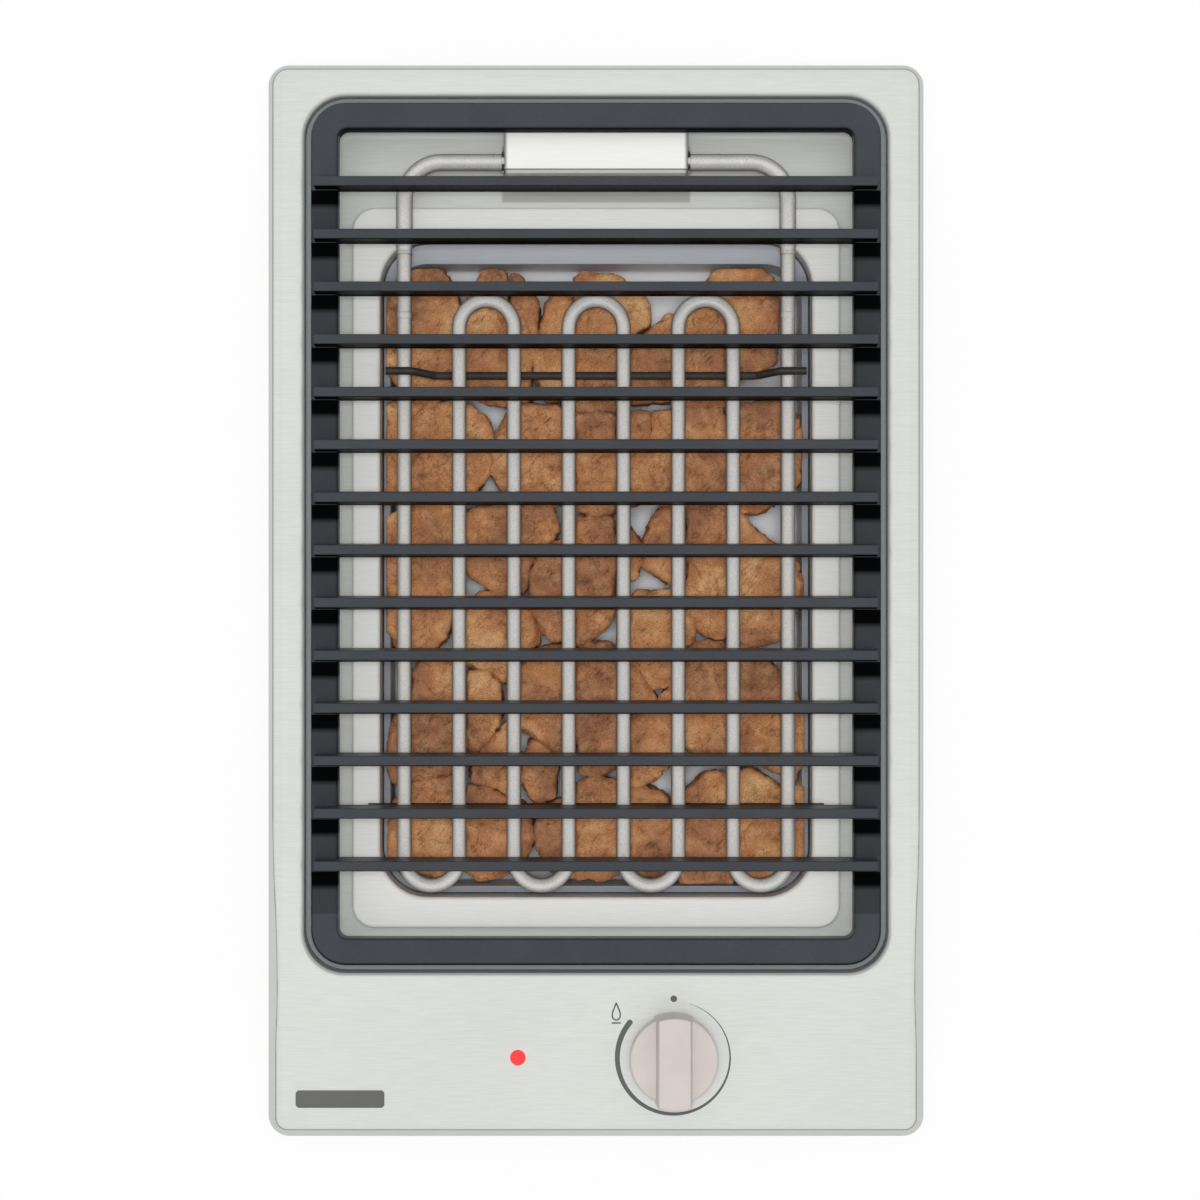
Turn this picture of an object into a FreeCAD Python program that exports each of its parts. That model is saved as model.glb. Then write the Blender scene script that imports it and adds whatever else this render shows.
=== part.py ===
"""Built-in electric barbecue cooktop, as a parametric document in millimetres.

The origin is the centre of the underside. +X points to the right, +Y to the back and +Z up, as the
person who cooks sees it. Every driving size is a cell of the sheet Sizes, and every size or place that
follows from them is a cell of the sheet Places.
"""

import FreeCAD, Part
import math
import os
import random
import re

import Sketcher
from FreeCAD import Placement, Rotation, Vector

os.makedirs("parts", exist_ok=True)
document = FreeCAD.newDocument("BarbecueCooktop")

# Driving sizes

SIZES = {
    # pressed top plate
    "plate_width": 312.0,
    "plate_length": 510.0,
    "plate_corner": 10.0,
    "plate_sheet": 1.0,
    "skirt_angle": 30.0,
    "worktop_height": 112.0,
    "back_rise": 5.0,
    "crest_rise": 9.5,
    "panel_rise": 8.0,
    "wave_inset": 155.0,
    "crest_inset": 71.0,
    "panel_inset": 40.0,
    "edge_bend": 2.0,
    "rim_bend": 3.0,
    # well for the grid and the stones
    "well_side_margin": 17.5,
    "well_back_margin": 15.3,
    "well_front_margin": 78.7,
    "well_corner": 19.5,
    "ledge_width": 9.5,
    "ledge_depth": 9.5,
    "ledge_bend": 1.5,
    "floor_depth": 30.0,
    "floor_bend": 6.0,
    "opening_gap": 3.0,
    # clearances
    "trim_gap": 5.0,
    "cut_margin": 20.0,
    "seat_gap": 0.3,
    "running_gap": 0.1,
    "hole_gap": 0.2,
    # cast-iron grid
    "grid_gap": 3.2,
    "grid_thickness": 10.0,
    "rail_width": 12.8,
    "window_corner": 4.6,
    "grid_bend": 2.0,
    "bar_count": 14,
    "first_bar": 25.8,
    "last_bar": 35.0,
    "bar_top": 4.8,
    "bar_foot": 6.6,
    "bar_rise": 8.0,
    "bar_sink": 5.0,
    "bar_crown": 0.8,
    "bar_inset": 2.3,
    # heating element, its cold ends and its rods
    "leg_count": 8,
    "leg_pitch": 26.35,
    "heater_radius": 3.5,
    "heater_reach": 20.0,
    "end_bend": 18.0,
    "sleeve_radius": 4.0,
    "sleeve_length": 39.8,
    "pivot_inset": 19.4,
    "pivot_depth": 18.0,
    "back_turn_inset": 44.0,
    "front_turn_inset": 19.7,
    "rod_radius": 1.9,
    "front_rod_inset": 24.1,
    "front_rod_reach": 5.4,
    "back_rod_inset": 22.5,
    "back_rod_reach": 8.6,
    "rod_skew": 1.5,
    "rod_bend": 4.0,
    "seal_radius": 2.6,
    "seal_length": 4.0,
    "pin_radius": 1.2,
    "pin_length": 12.0,
    # pivot housing of the heating element
    "cover_width": 88.4,
    "cover_length": 21.0,
    "cover_height": 17.2,
    "cover_corner": 2.5,
    "cover_front": 5.8,
    "cover_sheet": 1.0,
    "bush_radius": 4.1,
    "bush_flange_radius": 5.3,
    "bush_flange": 1.0,
    "ear_sheet": 1.5,
    "lead_block_width": 26.0,
    "lead_block_length": 8.4,
    "lead_block_height": 14.4,
    "conduit_radius": 4.5,
    "conduit_bore": 3.2,
    "conduit_collar": 0.35,
    "conduit_collar_height": 1.5,
    "conduit_drop": 14.0,
    "conduit_nut_across": 13.0,
    "conduit_nut_height": 4.0,
    "pivot_screw_radius": 2.0,
    "pivot_screw_span": 64.0,
    "pivot_screw_back": 5.0,
    "pivot_screw_length": 10.0,
    "pivot_nut_across": 7.0,
    "pivot_nut_height": 3.0,
    # basin tray and stone tray
    "tray_side_gap": 10.8,
    "tray_back_gap": 40.0,
    "tray_front_gap": 8.2,
    "tray_corner": 11.0,
    "tray_sheet": 1.0,
    "tray_lift": 4.4,
    "tray_bend": 1.6,
    "mouth_bend": 2.0,
    "bowl_side_rim": 13.6,
    "bowl_end_rim": 15.1,
    "bowl_corner": 23.0,
    "bowl_depth": 50.0,
    "bowl_round": 6.0,
    "stone_rim_depth": 14.0,
    "stone_side_rim": 3.0,
    "stone_back_rim": 9.5,
    "stone_corner": 18.0,
    "stone_sheet": 0.8,
    "stone_round": 3.0,
    "stone_gap": 1.0,
    "stone_top": 84.0,
    "stone_top_spread": 2.5,
    "drain_radius": 4.0,
    "drain_rows": 5,
    "drain_columns": 4,
    "drain_pitch": 44.0,
    # housing under the worktop
    "housing_side_inset": 14.0,
    "housing_end_inset": 11.5,
    "housing_corner": 5.0,
    "housing_sheet": 1.0,
    "housing_flange": 14.0,
    "base_sheet": 1.5,
    "base_gap": 0.5,
    "vent_length": 34.0,
    "vent_height": 4.0,
    "vent_count": 6,
    "vent_pitch": 56.0,
    "vent_line": 78.0,
    "hole_setback": 11.0,
    "seal_width": 6.0,
    "screw_radius": 2.0,
    "screw_head_radius": 3.8,
    "screw_head": 1.6,
    "base_screw_inset": 7.0,
    "base_screw_length": 7.0,
    "bracket_length": 16.0,
    "bracket_sheet": 1.2,
    "bracket_drop": 16.0,
    "bracket_inset": 28.0,
    "bracket_gap": 0.5,
    "bracket_screw_rise": 6.0,
    "side_screw_length": 8.0,
    "clamp_width": 18.0,
    "clamp_sheet": 1.5,
    "clamp_foot": 12.0,
    "clamp_low": 30.0,
    "clamp_high": 62.0,
    "clamp_reach": 150.0,
    "clamp_screw_radius": 2.5,
    "clamp_screw_across": 9.0,
    "clamp_screw_head": 4.0,
    "clamp_fixing_rise": 12.0,
    "clamp_first_fixing": 12.0,
    "clamp_screw_out": 6.0,
    "clamp_screw_drop": 3.0,
    "worktop_thickness": 30.0,
    # control compartment
    "partition_inset": 74.0,
    "partition_sheet": 1.0,
    "partition_flange": 10.0,
    "duct_radius": 6.4,
    "duct_grommet": 1.5,
    "control_sheet": 1.2,
    "control_drop": 13.0,
    "control_width": 140.0,
    "control_length": 44.0,
    "control_flange": 12.0,
    "knob_side": 36.8,
    "knob_inset": 38.6,
    "knob_gap": 2.0,
    "knob_radius": 20.75,
    "knob_disc": 7.8,
    "knob_height": 19.9,
    "grip_radius": 21.8,
    "grip_foot": 18.4,
    "grip_top": 15.1,
    "grip_bend": 1.2,
    "knob_wall": 1.8,
    "knob_hollow": 5.0,
    "hub_radius": 6.5,
    "spindle_radius": 3.0,
    "spindle_flat": 2.0,
    "spindle_hole": 5.0,
    "spindle_depth": 14.0,
    "knob_bore": 13.0,
    "regulator_width": 42.0,
    "regulator_height": 30.0,
    "regulator_boss": 4.5,
    "regulator_boss_height": 5.0,
    "regulator_screw_span": 28.0,
    "tab_width": 6.3,
    "tab_sheet": 0.8,
    "tab_length": 8.0,
    "tab_pitch": 12.0,
    "tab_inset": 12.0,
    "regulator_screw_length": 9.0,
    "lamp_side": 37.0,
    "lens_radius": 3.6,
    "lens_rise": 0.8,
    "lens_dome": 0.7,
    "lamp_radius": 5.5,
    "lamp_length": 20.0,
    "lamp_seat": 8.0,
    "lamp_collar": 1.6,
    "lamp_tab_span": 6.0,
    # mains entry
    "block_inset": 58.0,
    "entry_inset": 43.0,
    "block_width": 42.0,
    "block_length": 20.0,
    "block_height": 16.0,
    "pole_radius": 2.2,
    "pole_depth": 5.0,
    "pole_pitch": 12.0,
    "pole_level": 6.2,
    "pole_screw_sink": 1.5,
    "pole_insert": 3.0,
    "pole_screw_span": 10.0,
    "block_screw_radius": 1.5,
    "block_screw_head_radius": 2.6,
    "cable_radius": 5.25,
    "bush_neck_radius": 8.0,
    "bush_rim_radius": 10.5,
    "bush_rim": 2.0,
    "bush_length": 12.0,
    "entry_height": 28.0,
    "saddle_inset": 22.0,
    "saddle_width": 10.0,
    "saddle_length": 28.0,
    "saddle_bar": 4.0,
    "saddle_screw_span": 18.0,
    "saddle_split": 0.3,
    "stud_inset": 98.0,
    "stud_radius": 2.5,
    "stud_height": 13.0,
    "stud_head": 1.0,
    "stud_head_rim": 1.0,
    "lug_radius": 5.0,
    "lug_sheet": 1.0,
    "lug_barrel": 2.2,
    "lug_reach": 12.0,
    "lug_insert": 3.0,
    "stud_nut_across": 8.0,
    "stud_nut_height": 4.0,
    # wiring under the trays
    "channel_width": 26.0,
    "channel_height": 15.0,
    "channel_flange": 9.0,
    "channel_sheet": 1.0,
    "wire_radius": 1.4,
    "wire_bend": 7.0,
    "wire_spread": 1.6,
    "wire_level": 10.5,
    "lamp_wire_radius": 1.0,
    "lamp_wire_bend": 3.0,
    "lamp_wire_level": 54.0,
    "lamp_wire_step": 6.0,
    "mains_turn_gap": 6.0,
    "mains_turn_step": 4.5,
    "mains_level_step": 8.0,
    "mains_level": 46.0,
    "earth_turn_inset": 22.0,
    "channel_front_inset": 87.0,
    "channel_back_inset": 55.0,
    "lead_drop": 5.0,
    "lead_insert": 2.0,
    "lead_bend": 3.0,
}

# Sizes and places that follow

PLACES = {
    # lines that follow the plate's edges
    "half_length": "plate_length / 2",
    "wave_start": "half_length - wave_inset",
    "crest_line": "half_length - crest_inset",
    "panel_line": "half_length - panel_inset",
    "partition_line": "half_length - partition_inset",
    "knob_line": "half_length - knob_inset",
    "entry_line": "half_length - entry_inset",
    "earth_turn_line": "half_length - earth_turn_inset",
    "channel_start": "half_length - channel_front_inset",
    "channel_end": "half_length - channel_back_inset",
    "housing_width": "plate_width - 2 * housing_side_inset",
    "housing_length": "plate_length - 2 * housing_end_inset",
    "block_side": "housing_width / 2 - block_inset",
    "saddle_side": "housing_width / 2 - saddle_inset",
    "stud_side": "housing_width / 2 - stud_inset",
    "well_width": "plate_width - 2 * well_side_margin",
    "well_length": "plate_length - well_back_margin - well_front_margin",
    "well_shift": "(well_front_margin - well_back_margin) / 2",
    "tray_width": "well_width - 2 * ledge_width - 2 * tray_side_gap",
    "tray_length": "well_length - 2 * ledge_width - tray_back_gap - tray_front_gap",
    "tray_shift": "well_shift - (tray_back_gap - tray_front_gap) / 2",
    "bowl_width": "tray_width - 2 * bowl_side_rim",
    "bowl_length": "tray_length - 2 * bowl_end_rim",
    "pivot_back": "well_shift + well_length / 2 - ledge_width - pivot_inset",
    "back_turn": "tray_shift + bowl_length / 2 - back_turn_inset",
    "front_turn": "bowl_length / 2 - tray_shift - front_turn_inset",
    "front_rod_line": "front_turn - front_rod_inset",
    "front_rod_half": "bowl_width / 2 + front_rod_reach",
    "back_rod_line": "back_turn - back_rod_inset",
    "sleeve_line": "pivot_back - sleeve_length",
    "bracket_reach": "well_length / 2 - bracket_inset",
    "plate_top": "worktop_height + back_rise",
    "crest_top": "worktop_height + crest_rise",
    "panel_top": "worktop_height + panel_rise",
    "form_height": "crest_rise + trim_gap",
    "wave_y": "0 - wave_start",
    "crest_y": "0 - crest_line",
    "panel_y": "0 - panel_line",
    "hollow_width": "plate_width - 2 * plate_sheet / cos(skirt_angle)",
    "hollow_length": "plate_length - 2 * plate_sheet / cos(skirt_angle)",
    "hollow_corner": "plate_corner - plate_sheet / cos(skirt_angle)",
    "well_outer_width": "well_width + 2 * plate_sheet",
    "well_outer_length": "well_length + 2 * plate_sheet",
    "well_outer_corner": "well_corner + plate_sheet",
    "basin_width": "well_width - 2 * ledge_width",
    "basin_length": "well_length - 2 * ledge_width",
    "basin_corner": "well_corner - ledge_width",
    "basin_outer_width": "basin_width + 2 * plate_sheet",
    "basin_outer_length": "basin_length + 2 * plate_sheet",
    "basin_outer_corner": "basin_corner + plate_sheet",
    "ledge_z": "plate_top - ledge_depth",
    "floor_z": "plate_top - floor_depth",
    "opening_width": "bowl_width + 2 * tray_sheet + 2 * opening_gap",
    "opening_length": "bowl_length + 2 * tray_sheet + 2 * opening_gap",
    "opening_corner": "bowl_corner + tray_sheet + opening_gap",
    # grid
    "grid_width": "well_width - 2 * grid_gap",
    "grid_length": "well_length - 2 * grid_gap",
    "grid_corner": "well_corner - grid_gap",
    "window_width": "grid_width - 2 * rail_width",
    "window_length": "grid_length - 2 * rail_width",
    "grid_z": "ledge_z + seat_gap",
    "rail_top": "grid_z + grid_thickness",
    "bar_z": "rail_top - bar_sink",
    "bar_height": "bar_sink + bar_rise",
    "bar_pitch": "(window_length - first_bar - last_bar) / (bar_count - 1)",
    "first_bar_y": "well_shift + window_length / 2 - first_bar",
    # heating element
    "pivot_z": "plate_top - pivot_depth",
    "rod_z": "pivot_z - heater_radius - rod_radius - running_gap",
    "rod_end_z": "pivot_z + heater_radius + rod_radius + running_gap",
    "outer_leg": "leg_pitch * (leg_count - 1) / 2",
    "back_rod_half": "outer_leg + back_rod_reach",
    # trays
    "tray_z": "floor_z + tray_lift",
    "tray_inner_width": "tray_width - 2 * tray_sheet",
    "tray_inner_length": "tray_length - 2 * tray_sheet",
    "tray_inner_corner": "tray_corner - tray_sheet",
    "bowl_outer_width": "bowl_width + 2 * tray_sheet",
    "bowl_outer_length": "bowl_length + 2 * tray_sheet",
    "bowl_outer_corner": "bowl_corner + tray_sheet",
    "bowl_z": "tray_z - bowl_depth",
    "stone_rim_z": "tray_z - stone_rim_depth",
    "stone_rim_width": "bowl_width - 2 * stone_gap",
    "stone_rim_length": "bowl_length - 2 * stone_gap",
    "stone_rim_corner": "bowl_corner - stone_gap",
    "stone_z": "bowl_z + tray_sheet + seat_gap",
    "stone_width": "stone_rim_width - 2 * stone_side_rim",
    "stone_length": "stone_rim_length - stone_side_rim - stone_back_rim",
    "stone_outer_width": "stone_width + 2 * stone_sheet",
    "stone_outer_length": "stone_length + 2 * stone_sheet",
    "stone_outer_corner": "stone_corner + stone_sheet",
    "stone_shift": "tray_shift - (stone_back_rim - stone_side_rim) / 2",
    # pivot housing
    "cover_y": "pivot_back - cover_front + cover_length / 2",
    "cover_inner_width": "cover_width - 2 * cover_sheet",
    "cover_inner_length": "cover_length - 2 * cover_sheet",
    "cover_inner_corner": "cover_corner - cover_sheet",
    "cover_z": "floor_z + seat_gap",
    "base_plate_width": "cover_inner_width - 2 * running_gap",
    "base_plate_length": "cover_inner_length - 2 * cover_inner_corner",
    "base_plate_top": "floor_z + ear_sheet",
    "ear_height": "cover_z + cover_height - cover_sheet - running_gap - floor_z",
    "conduit_y": "pivot_back + lead_block_length / 2 + conduit_radius + conduit_collar + running_gap",
    "pivot_screw_y": "pivot_back + pivot_screw_back",
    # housing
    "housing_inner_width": "housing_width - 2 * housing_sheet",
    "housing_inner_length": "housing_length - 2 * housing_sheet",
    "housing_inner_corner": "housing_corner - housing_sheet",
    "bracket_inner": "basin_outer_width / 2 + bracket_gap",
    "bracket_outer": "housing_inner_width / 2 - seat_gap",
    "hole_width": "housing_inner_width - 2 * housing_flange",
    "hole_length": "housing_inner_length / 2 - housing_flange + partition_line - hole_setback",
    "hole_shift": "(housing_inner_length / 2 - housing_flange - partition_line + hole_setback) / 2",
    "base_width": "housing_width - 2 * base_gap",
    "base_length": "housing_length - 2 * base_gap",
    "base_corner": "housing_corner - base_gap",
    "housing_z": "base_sheet",
    "flange_top": "base_sheet + housing_sheet",
    "trim_height": "crest_top + trim_gap",
    "underside_drop": "plate_sheet + seat_gap",
    "seal_inner_width": "housing_width + 2 * seat_gap",
    "seal_inner_length": "housing_length + 2 * seat_gap",
    "seal_inner_corner": "housing_corner + seat_gap",
    "seal_outer_width": "seal_inner_width + 2 * seal_width",
    "seal_outer_length": "seal_inner_length + 2 * seal_width",
    "seal_outer_corner": "seal_inner_corner + seal_width",
    # control compartment
    "knob_x": "knob_side",
    "knob_y": "0 - knob_line",
    "knob_z": "panel_top + knob_gap",
    "knob_top": "knob_z + knob_height",
    "lamp_x": "0 - lamp_side",
    "lamp_y": "0 - knob_line",
    "control_z": "panel_top - control_drop",
    "regulator_z": "control_z - control_sheet - regulator_height",
    "tab_row": "regulator_width / 2 - tab_inset",
    "tab_z": "regulator_z - tab_length",
    "lamp_top": "panel_top - plate_sheet - seat_gap",
    "lamp_z": "lamp_top - lamp_length",
    "spindle_z": "control_z - control_sheet + regulator_boss_height - spindle_depth + running_gap",
    "lens_stand": "plate_sheet + seat_gap + lens_rise - lens_dome",
    "entry_y": "0 - entry_line",
    "saddle_top": "entry_height + cable_radius + saddle_bar",
    "lead_line_z": "pivot_z - lead_drop",
    "channel_front": "0 - channel_start",
    "channel_back": "channel_end",
    "mains_turn": "0 - partition_line - mains_turn_gap",
    "earth_turn": "0 - earth_turn_line",
    "bracket_screw_z": "ledge_z - plate_sheet - bracket_drop + bracket_screw_rise",
    "clamp_screw_x": "housing_width / 2 + clamp_sheet + clamp_screw_out",
    "partition_y": "0 - partition_line",
}

sizes_sheet = document.addObject("Spreadsheet::Sheet", "Sizes")
for row, (alias, size) in enumerate(SIZES.items(), start=1):
    sizes_sheet.set(f"A{row}", alias)
    sizes_sheet.set(f"B{row}", str(size))
    sizes_sheet.setAlias(f"B{row}", alias)


def named(text, own_sheet=False):
    """Return a formula with the sheet's name before every alias."""

    def with_sheet(match):
        word = match.group(0)
        if word in SIZES:
            return "Sizes." + word
        if word in PLACES and not own_sheet:
            return "Places." + word
        return word

    return re.sub(r"[a-z][a-z_]*", with_sheet, text)


places_sheet = document.addObject("Spreadsheet::Sheet", "Places")
for row, (alias, formula) in enumerate(PLACES.items(), start=1):
    places_sheet.set(f"A{row}", alias)
    places_sheet.set(f"B{row}", "=" + named(formula, own_sheet=True))
    places_sheet.setAlias(f"B{row}", alias)
document.recompute()


def number(alias):
    """Return the value of a cell."""
    sheet = sizes_sheet if alias in SIZES else places_sheet
    return float(getattr(sheet, alias))


def bind(item, **formulas):
    """Bind properties of an object to formulas; a double underscore stands for a dot."""
    for path, text in formulas.items():
        item.setExpression(path.replace("__", "."), named(text))


# Bodies, sketches and features


def new_body(label):
    """Add an empty body, named for the piece that it becomes."""
    body = document.addObject("PartDesign::Body", label)
    body.Label = label
    return body


def new_sketch(body, name, role, offset="0"):
    """Add a sketch on one of the body's own origin planes, moved along its normal by a formula."""
    plane = [item for item in body.Origin.OriginFeatures if item.Role == role][0]
    sketch = body.newObject("Sketcher::SketchObject", name)
    sketch.AttachmentSupport = (plane, [""])
    sketch.MapMode = "FlatFace"
    bind(sketch, AttachmentOffset__Base__z=offset)
    return sketch


def datum(sketch, kind, *where, to):
    """Add a dimension to a sketch and bind it to a formula."""
    start = number(to) if to in SIZES or to in PLACES else 1.0
    index = sketch.addConstraint(Sketcher.Constraint(kind, *where, start))
    sketch.setExpression(f"Constraints[{index}]", named(to))


def rounded_plan(sketch, width, length, corner, shift=None):
    """Draw a rounded rectangle, centred on the Y axis and moved along it by shift."""
    half_w = number(width) / 2
    half_l = number(length) / 2
    radius = number(corner)
    centre = number(shift) if shift else 0.0
    first = sketch.GeometryCount
    ends = [
        ((-half_w + radius, -half_l), (half_w - radius, -half_l)),
        ((half_w, -half_l + radius), (half_w, half_l - radius)),
        ((half_w - radius, half_l), (-half_w + radius, half_l)),
        ((-half_w, half_l - radius), (-half_w, -half_l + radius)),
    ]
    for start, end in ends:
        line = [Vector(x, y + centre, 0) for x, y in (start, end)]
        sketch.addGeometry(Part.LineSegment(*line), False)
    middles = [
        (half_w - radius, -half_l + radius),
        (half_w - radius, half_l - radius),
        (-half_w + radius, half_l - radius),
        (-half_w + radius, -half_l + radius),
    ]
    for turn, (x, y) in enumerate(middles):
        ring = Part.Circle(Vector(x, y + centre, 0), Vector(0, 0, 1), radius)
        start = (turn - 1) * math.pi / 2
        sketch.addGeometry(Part.ArcOfCircle(ring, start, start + math.pi / 2), False)
    for turn in range(4):
        line, arc, following = first + turn, first + 4 + turn, first + (turn + 1) % 4
        sketch.addConstraint(Sketcher.Constraint("Tangent", line, 2, arc, 1))
        sketch.addConstraint(Sketcher.Constraint("Tangent", arc, 2, following, 1))
    for arc in range(first + 5, first + 8):
        sketch.addConstraint(Sketcher.Constraint("Equal", first + 4, arc))
    sketch.addConstraint(Sketcher.Constraint("Symmetric", first, 1, first, 2, -2))
    sketch.addConstraint(Sketcher.Constraint("Vertical", first + 1))
    sketch.addConstraint(Sketcher.Constraint("Horizontal", first + 2))
    sketch.addConstraint(Sketcher.Constraint("Vertical", first + 3))
    datum(sketch, "Radius", first + 4, to=corner)
    datum(sketch, "DistanceX", first + 3, 1, first + 1, 1, to=width)
    datum(sketch, "DistanceY", first, 1, first + 2, 1, to=length)
    middle = f"{shift} - {length} / 2" if shift else f"0 - {length} / 2"
    datum(sketch, "DistanceY", -1, 1, first, 1, to=middle)


def circle(sketch, radius, x="0", y="0"):
    """Draw a circle whose radius and centre are formulas."""
    index = sketch.addGeometry(Part.Circle(Vector(1, 1, 0), Vector(0, 0, 1), 1.0), False)
    datum(sketch, "Radius", index, to=radius)
    for kind, to in (("DistanceX", x), ("DistanceY", y)):
        if to == "0":
            sketch.addConstraint(
                Sketcher.Constraint("PointOnObject", index, 3, -2 if kind == "DistanceX" else -1)
            )
        else:
            datum(sketch, kind, -1, 1, index, 3, to=to)


def pad(body, name, sketch, length, reverse=False, taper=None, midplane=False):
    """Add a pad along the sketch's normal, or against it, with walls that lean in by taper degrees."""
    feature = body.newObject("PartDesign::Pad", name)
    feature.Profile = sketch
    feature.Reversed = reverse
    feature.Midplane = midplane
    bind(feature, Length=length)
    if taper:
        bind(feature, TaperAngle=f"0 - {taper}")
    body.Tip = feature
    return feature


def pocket(body, name, sketch, length=None, reverse=False):
    """Cut the sketch out of the body, against its normal, or along it if reversed.

    Without a length it goes through all, both ways.
    """
    feature = body.newObject("PartDesign::Pocket", name)
    feature.Profile = sketch
    feature.Reversed = reverse
    if length:
        bind(feature, Length=length)
    else:
        feature.Type = "ThroughAll"
        feature.Midplane = True
    body.Tip = feature
    return feature


def bend(body, name, radius, chosen):
    """Round the edges of the body's tip that the function chosen picks."""
    document.recompute()
    base = body.Tip
    names = [f"Edge{index}" for index, edge in enumerate(base.Shape.Edges, start=1) if chosen(edge)]
    feature = body.newObject("PartDesign::Fillet", name)
    feature.Base = (base, names)
    bind(feature, Radius=radius)
    body.Tip = feature
    return feature


def level_edges(height, width=None, length=None, shift=None):
    """Return a chooser of the edges that lie flat at a height, within a width and a length."""
    half_w = number(width) / 2 + 0.01 if width else math.inf
    half_l = number(length) / 2 + 0.01 if length else math.inf
    middle = number(shift) if shift else 0.0

    def chosen(edge):
        box = edge.BoundBox
        level = abs(box.ZMin - height) < 0.01 and abs(box.ZMax - height) < 0.01
        across = box.XMin > -half_w and box.XMax < half_w
        along = box.YMin > middle - half_l and box.YMax < middle + half_l
        return level and across and along

    return chosen


# Top plate: one pressed sheet with a raised control panel and a stepped well


def cut_above_wave(body, name, drop="0"):
    """Cut away all that lies above the plate's top surface, lowered by drop.

    Seen from the side the surface is flat at the back, swings up to a crest in front of the well and
    falls a little to the control panel, in four arcs that run into each other.
    """
    sketch = new_sketch(body, name + "_profile", "YZ_Plane")
    lowered = number(drop) if drop in SIZES or drop in PLACES else 0.0
    back_z = number("plate_top") - lowered
    crest_z = number("crest_top") - lowered
    panel_z = number("panel_top") - lowered
    wave_y, crest_y, panel_y = number("wave_y"), number("crest_y"), number("panel_y")
    outside_y = number("plate_length") / 2 + number("cut_margin")
    high_z = crest_z + number("cut_margin")
    rise, run = crest_z - back_z, wave_y - crest_y
    back_radius = (rise * rise + run * run) / (4 * rise)
    back_turn = math.asin(run / 2 / back_radius)
    fall, run = crest_z - panel_z, crest_y - panel_y
    front_radius = (fall * fall + run * run) / (4 * fall)
    front_turn = math.asin(run / 2 / front_radius)
    down, up = -math.pi / 2, math.pi / 2
    arcs = {
        1: (wave_y, back_z + back_radius, back_radius, down - back_turn, down, (2, 1)),
        2: (crest_y, crest_z - back_radius, back_radius, up - back_turn, up, (1, 2)),
        3: (crest_y, crest_z - front_radius, front_radius, up, up + front_turn, (1, 2)),
        4: (panel_y, panel_z + front_radius, front_radius, down, down + front_turn, (2, 1)),
    }
    lines = {
        0: ((outside_y, back_z), (wave_y, back_z)),
        5: ((panel_y, panel_z), (-outside_y, panel_z)),
        6: ((-outside_y, panel_z), (-outside_y, high_z)),
        7: ((-outside_y, high_z), (outside_y, high_z)),
        8: ((outside_y, high_z), (outside_y, back_z)),
    }
    sides = len(arcs) + len(lines)
    sketch_ends = []
    for index in range(sides):
        if index in arcs:
            y, z, radius, start, end, ends = arcs[index]
            ring = Part.Circle(Vector(y, z, 0), Vector(0, 0, 1), radius)
            sketch.addGeometry(Part.ArcOfCircle(ring, start, end), False)
            sketch_ends.append(ends)
        else:
            start, end = lines[index]
            sketch.addGeometry(Part.LineSegment(Vector(*start, 0), Vector(*end, 0)), False)
            sketch_ends.append((1, 2))
    for index in range(sides):
        following = (index + 1) % sides
        kind = "Tangent" if index in arcs or following in arcs else "Coincident"
        sketch.addConstraint(
            Sketcher.Constraint(kind, index, sketch_ends[index][1], following, sketch_ends[following][0])
        )
    for index in (0, 5, 7):
        sketch.addConstraint(Sketcher.Constraint("Horizontal", index))
    for index in (6, 8):
        sketch.addConstraint(Sketcher.Constraint("Vertical", index))
    sketch.addConstraint(Sketcher.Constraint("Equal", 1, 2))
    sketch.addConstraint(Sketcher.Constraint("Equal", 3, 4))
    sketch.addConstraint(Sketcher.Constraint("Vertical", 2, 3, 3, sketch_ends[3][0]))
    datum(sketch, "DistanceX", -1, 1, 1, sketch_ends[1][0], to="wave_y")
    datum(sketch, "DistanceY", -1, 1, 1, sketch_ends[1][0], to=f"plate_top - {drop}")
    datum(sketch, "DistanceX", -1, 1, 3, sketch_ends[3][0], to="crest_y")
    datum(sketch, "DistanceY", -1, 1, 3, sketch_ends[3][0], to=f"crest_top - {drop}")
    datum(sketch, "DistanceX", -1, 1, 5, sketch_ends[5][0], to="panel_y")
    datum(sketch, "DistanceY", -1, 1, 5, sketch_ends[5][0], to=f"panel_top - {drop}")
    datum(sketch, "DistanceX", -1, 1, 0, sketch_ends[0][0], to="plate_length / 2 + cut_margin")
    datum(sketch, "DistanceX", -1, 1, 6, sketch_ends[6][0], to="0 - plate_length / 2 - cut_margin")
    datum(sketch, "DistanceY", -1, 1, 7, sketch_ends[7][0], to="crest_top + cut_margin")
    return pocket(body, name, sketch)


def mouth_edges(width, length):
    """Return a chooser of the edges along a well's mouth, which lie above the skirt's foot."""
    half_w = number(width) / 2 + 0.01
    half_l = number(length) / 2 + 0.01
    middle = number("well_shift")
    lowest = number("worktop_height") + 0.5

    def chosen(edge):
        box = edge.BoundBox
        inside = box.XMin > -half_w and box.XMax < half_w
        inside = inside and box.YMin > middle - half_l and box.YMax < middle + half_l
        return inside and box.ZMin > lowest

    return chosen


def skirt_edges(edge):
    """Choose the edges where the skirt meets the top surface."""
    return edge.BoundBox.ZMin > number("worktop_height") + 0.5


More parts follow.
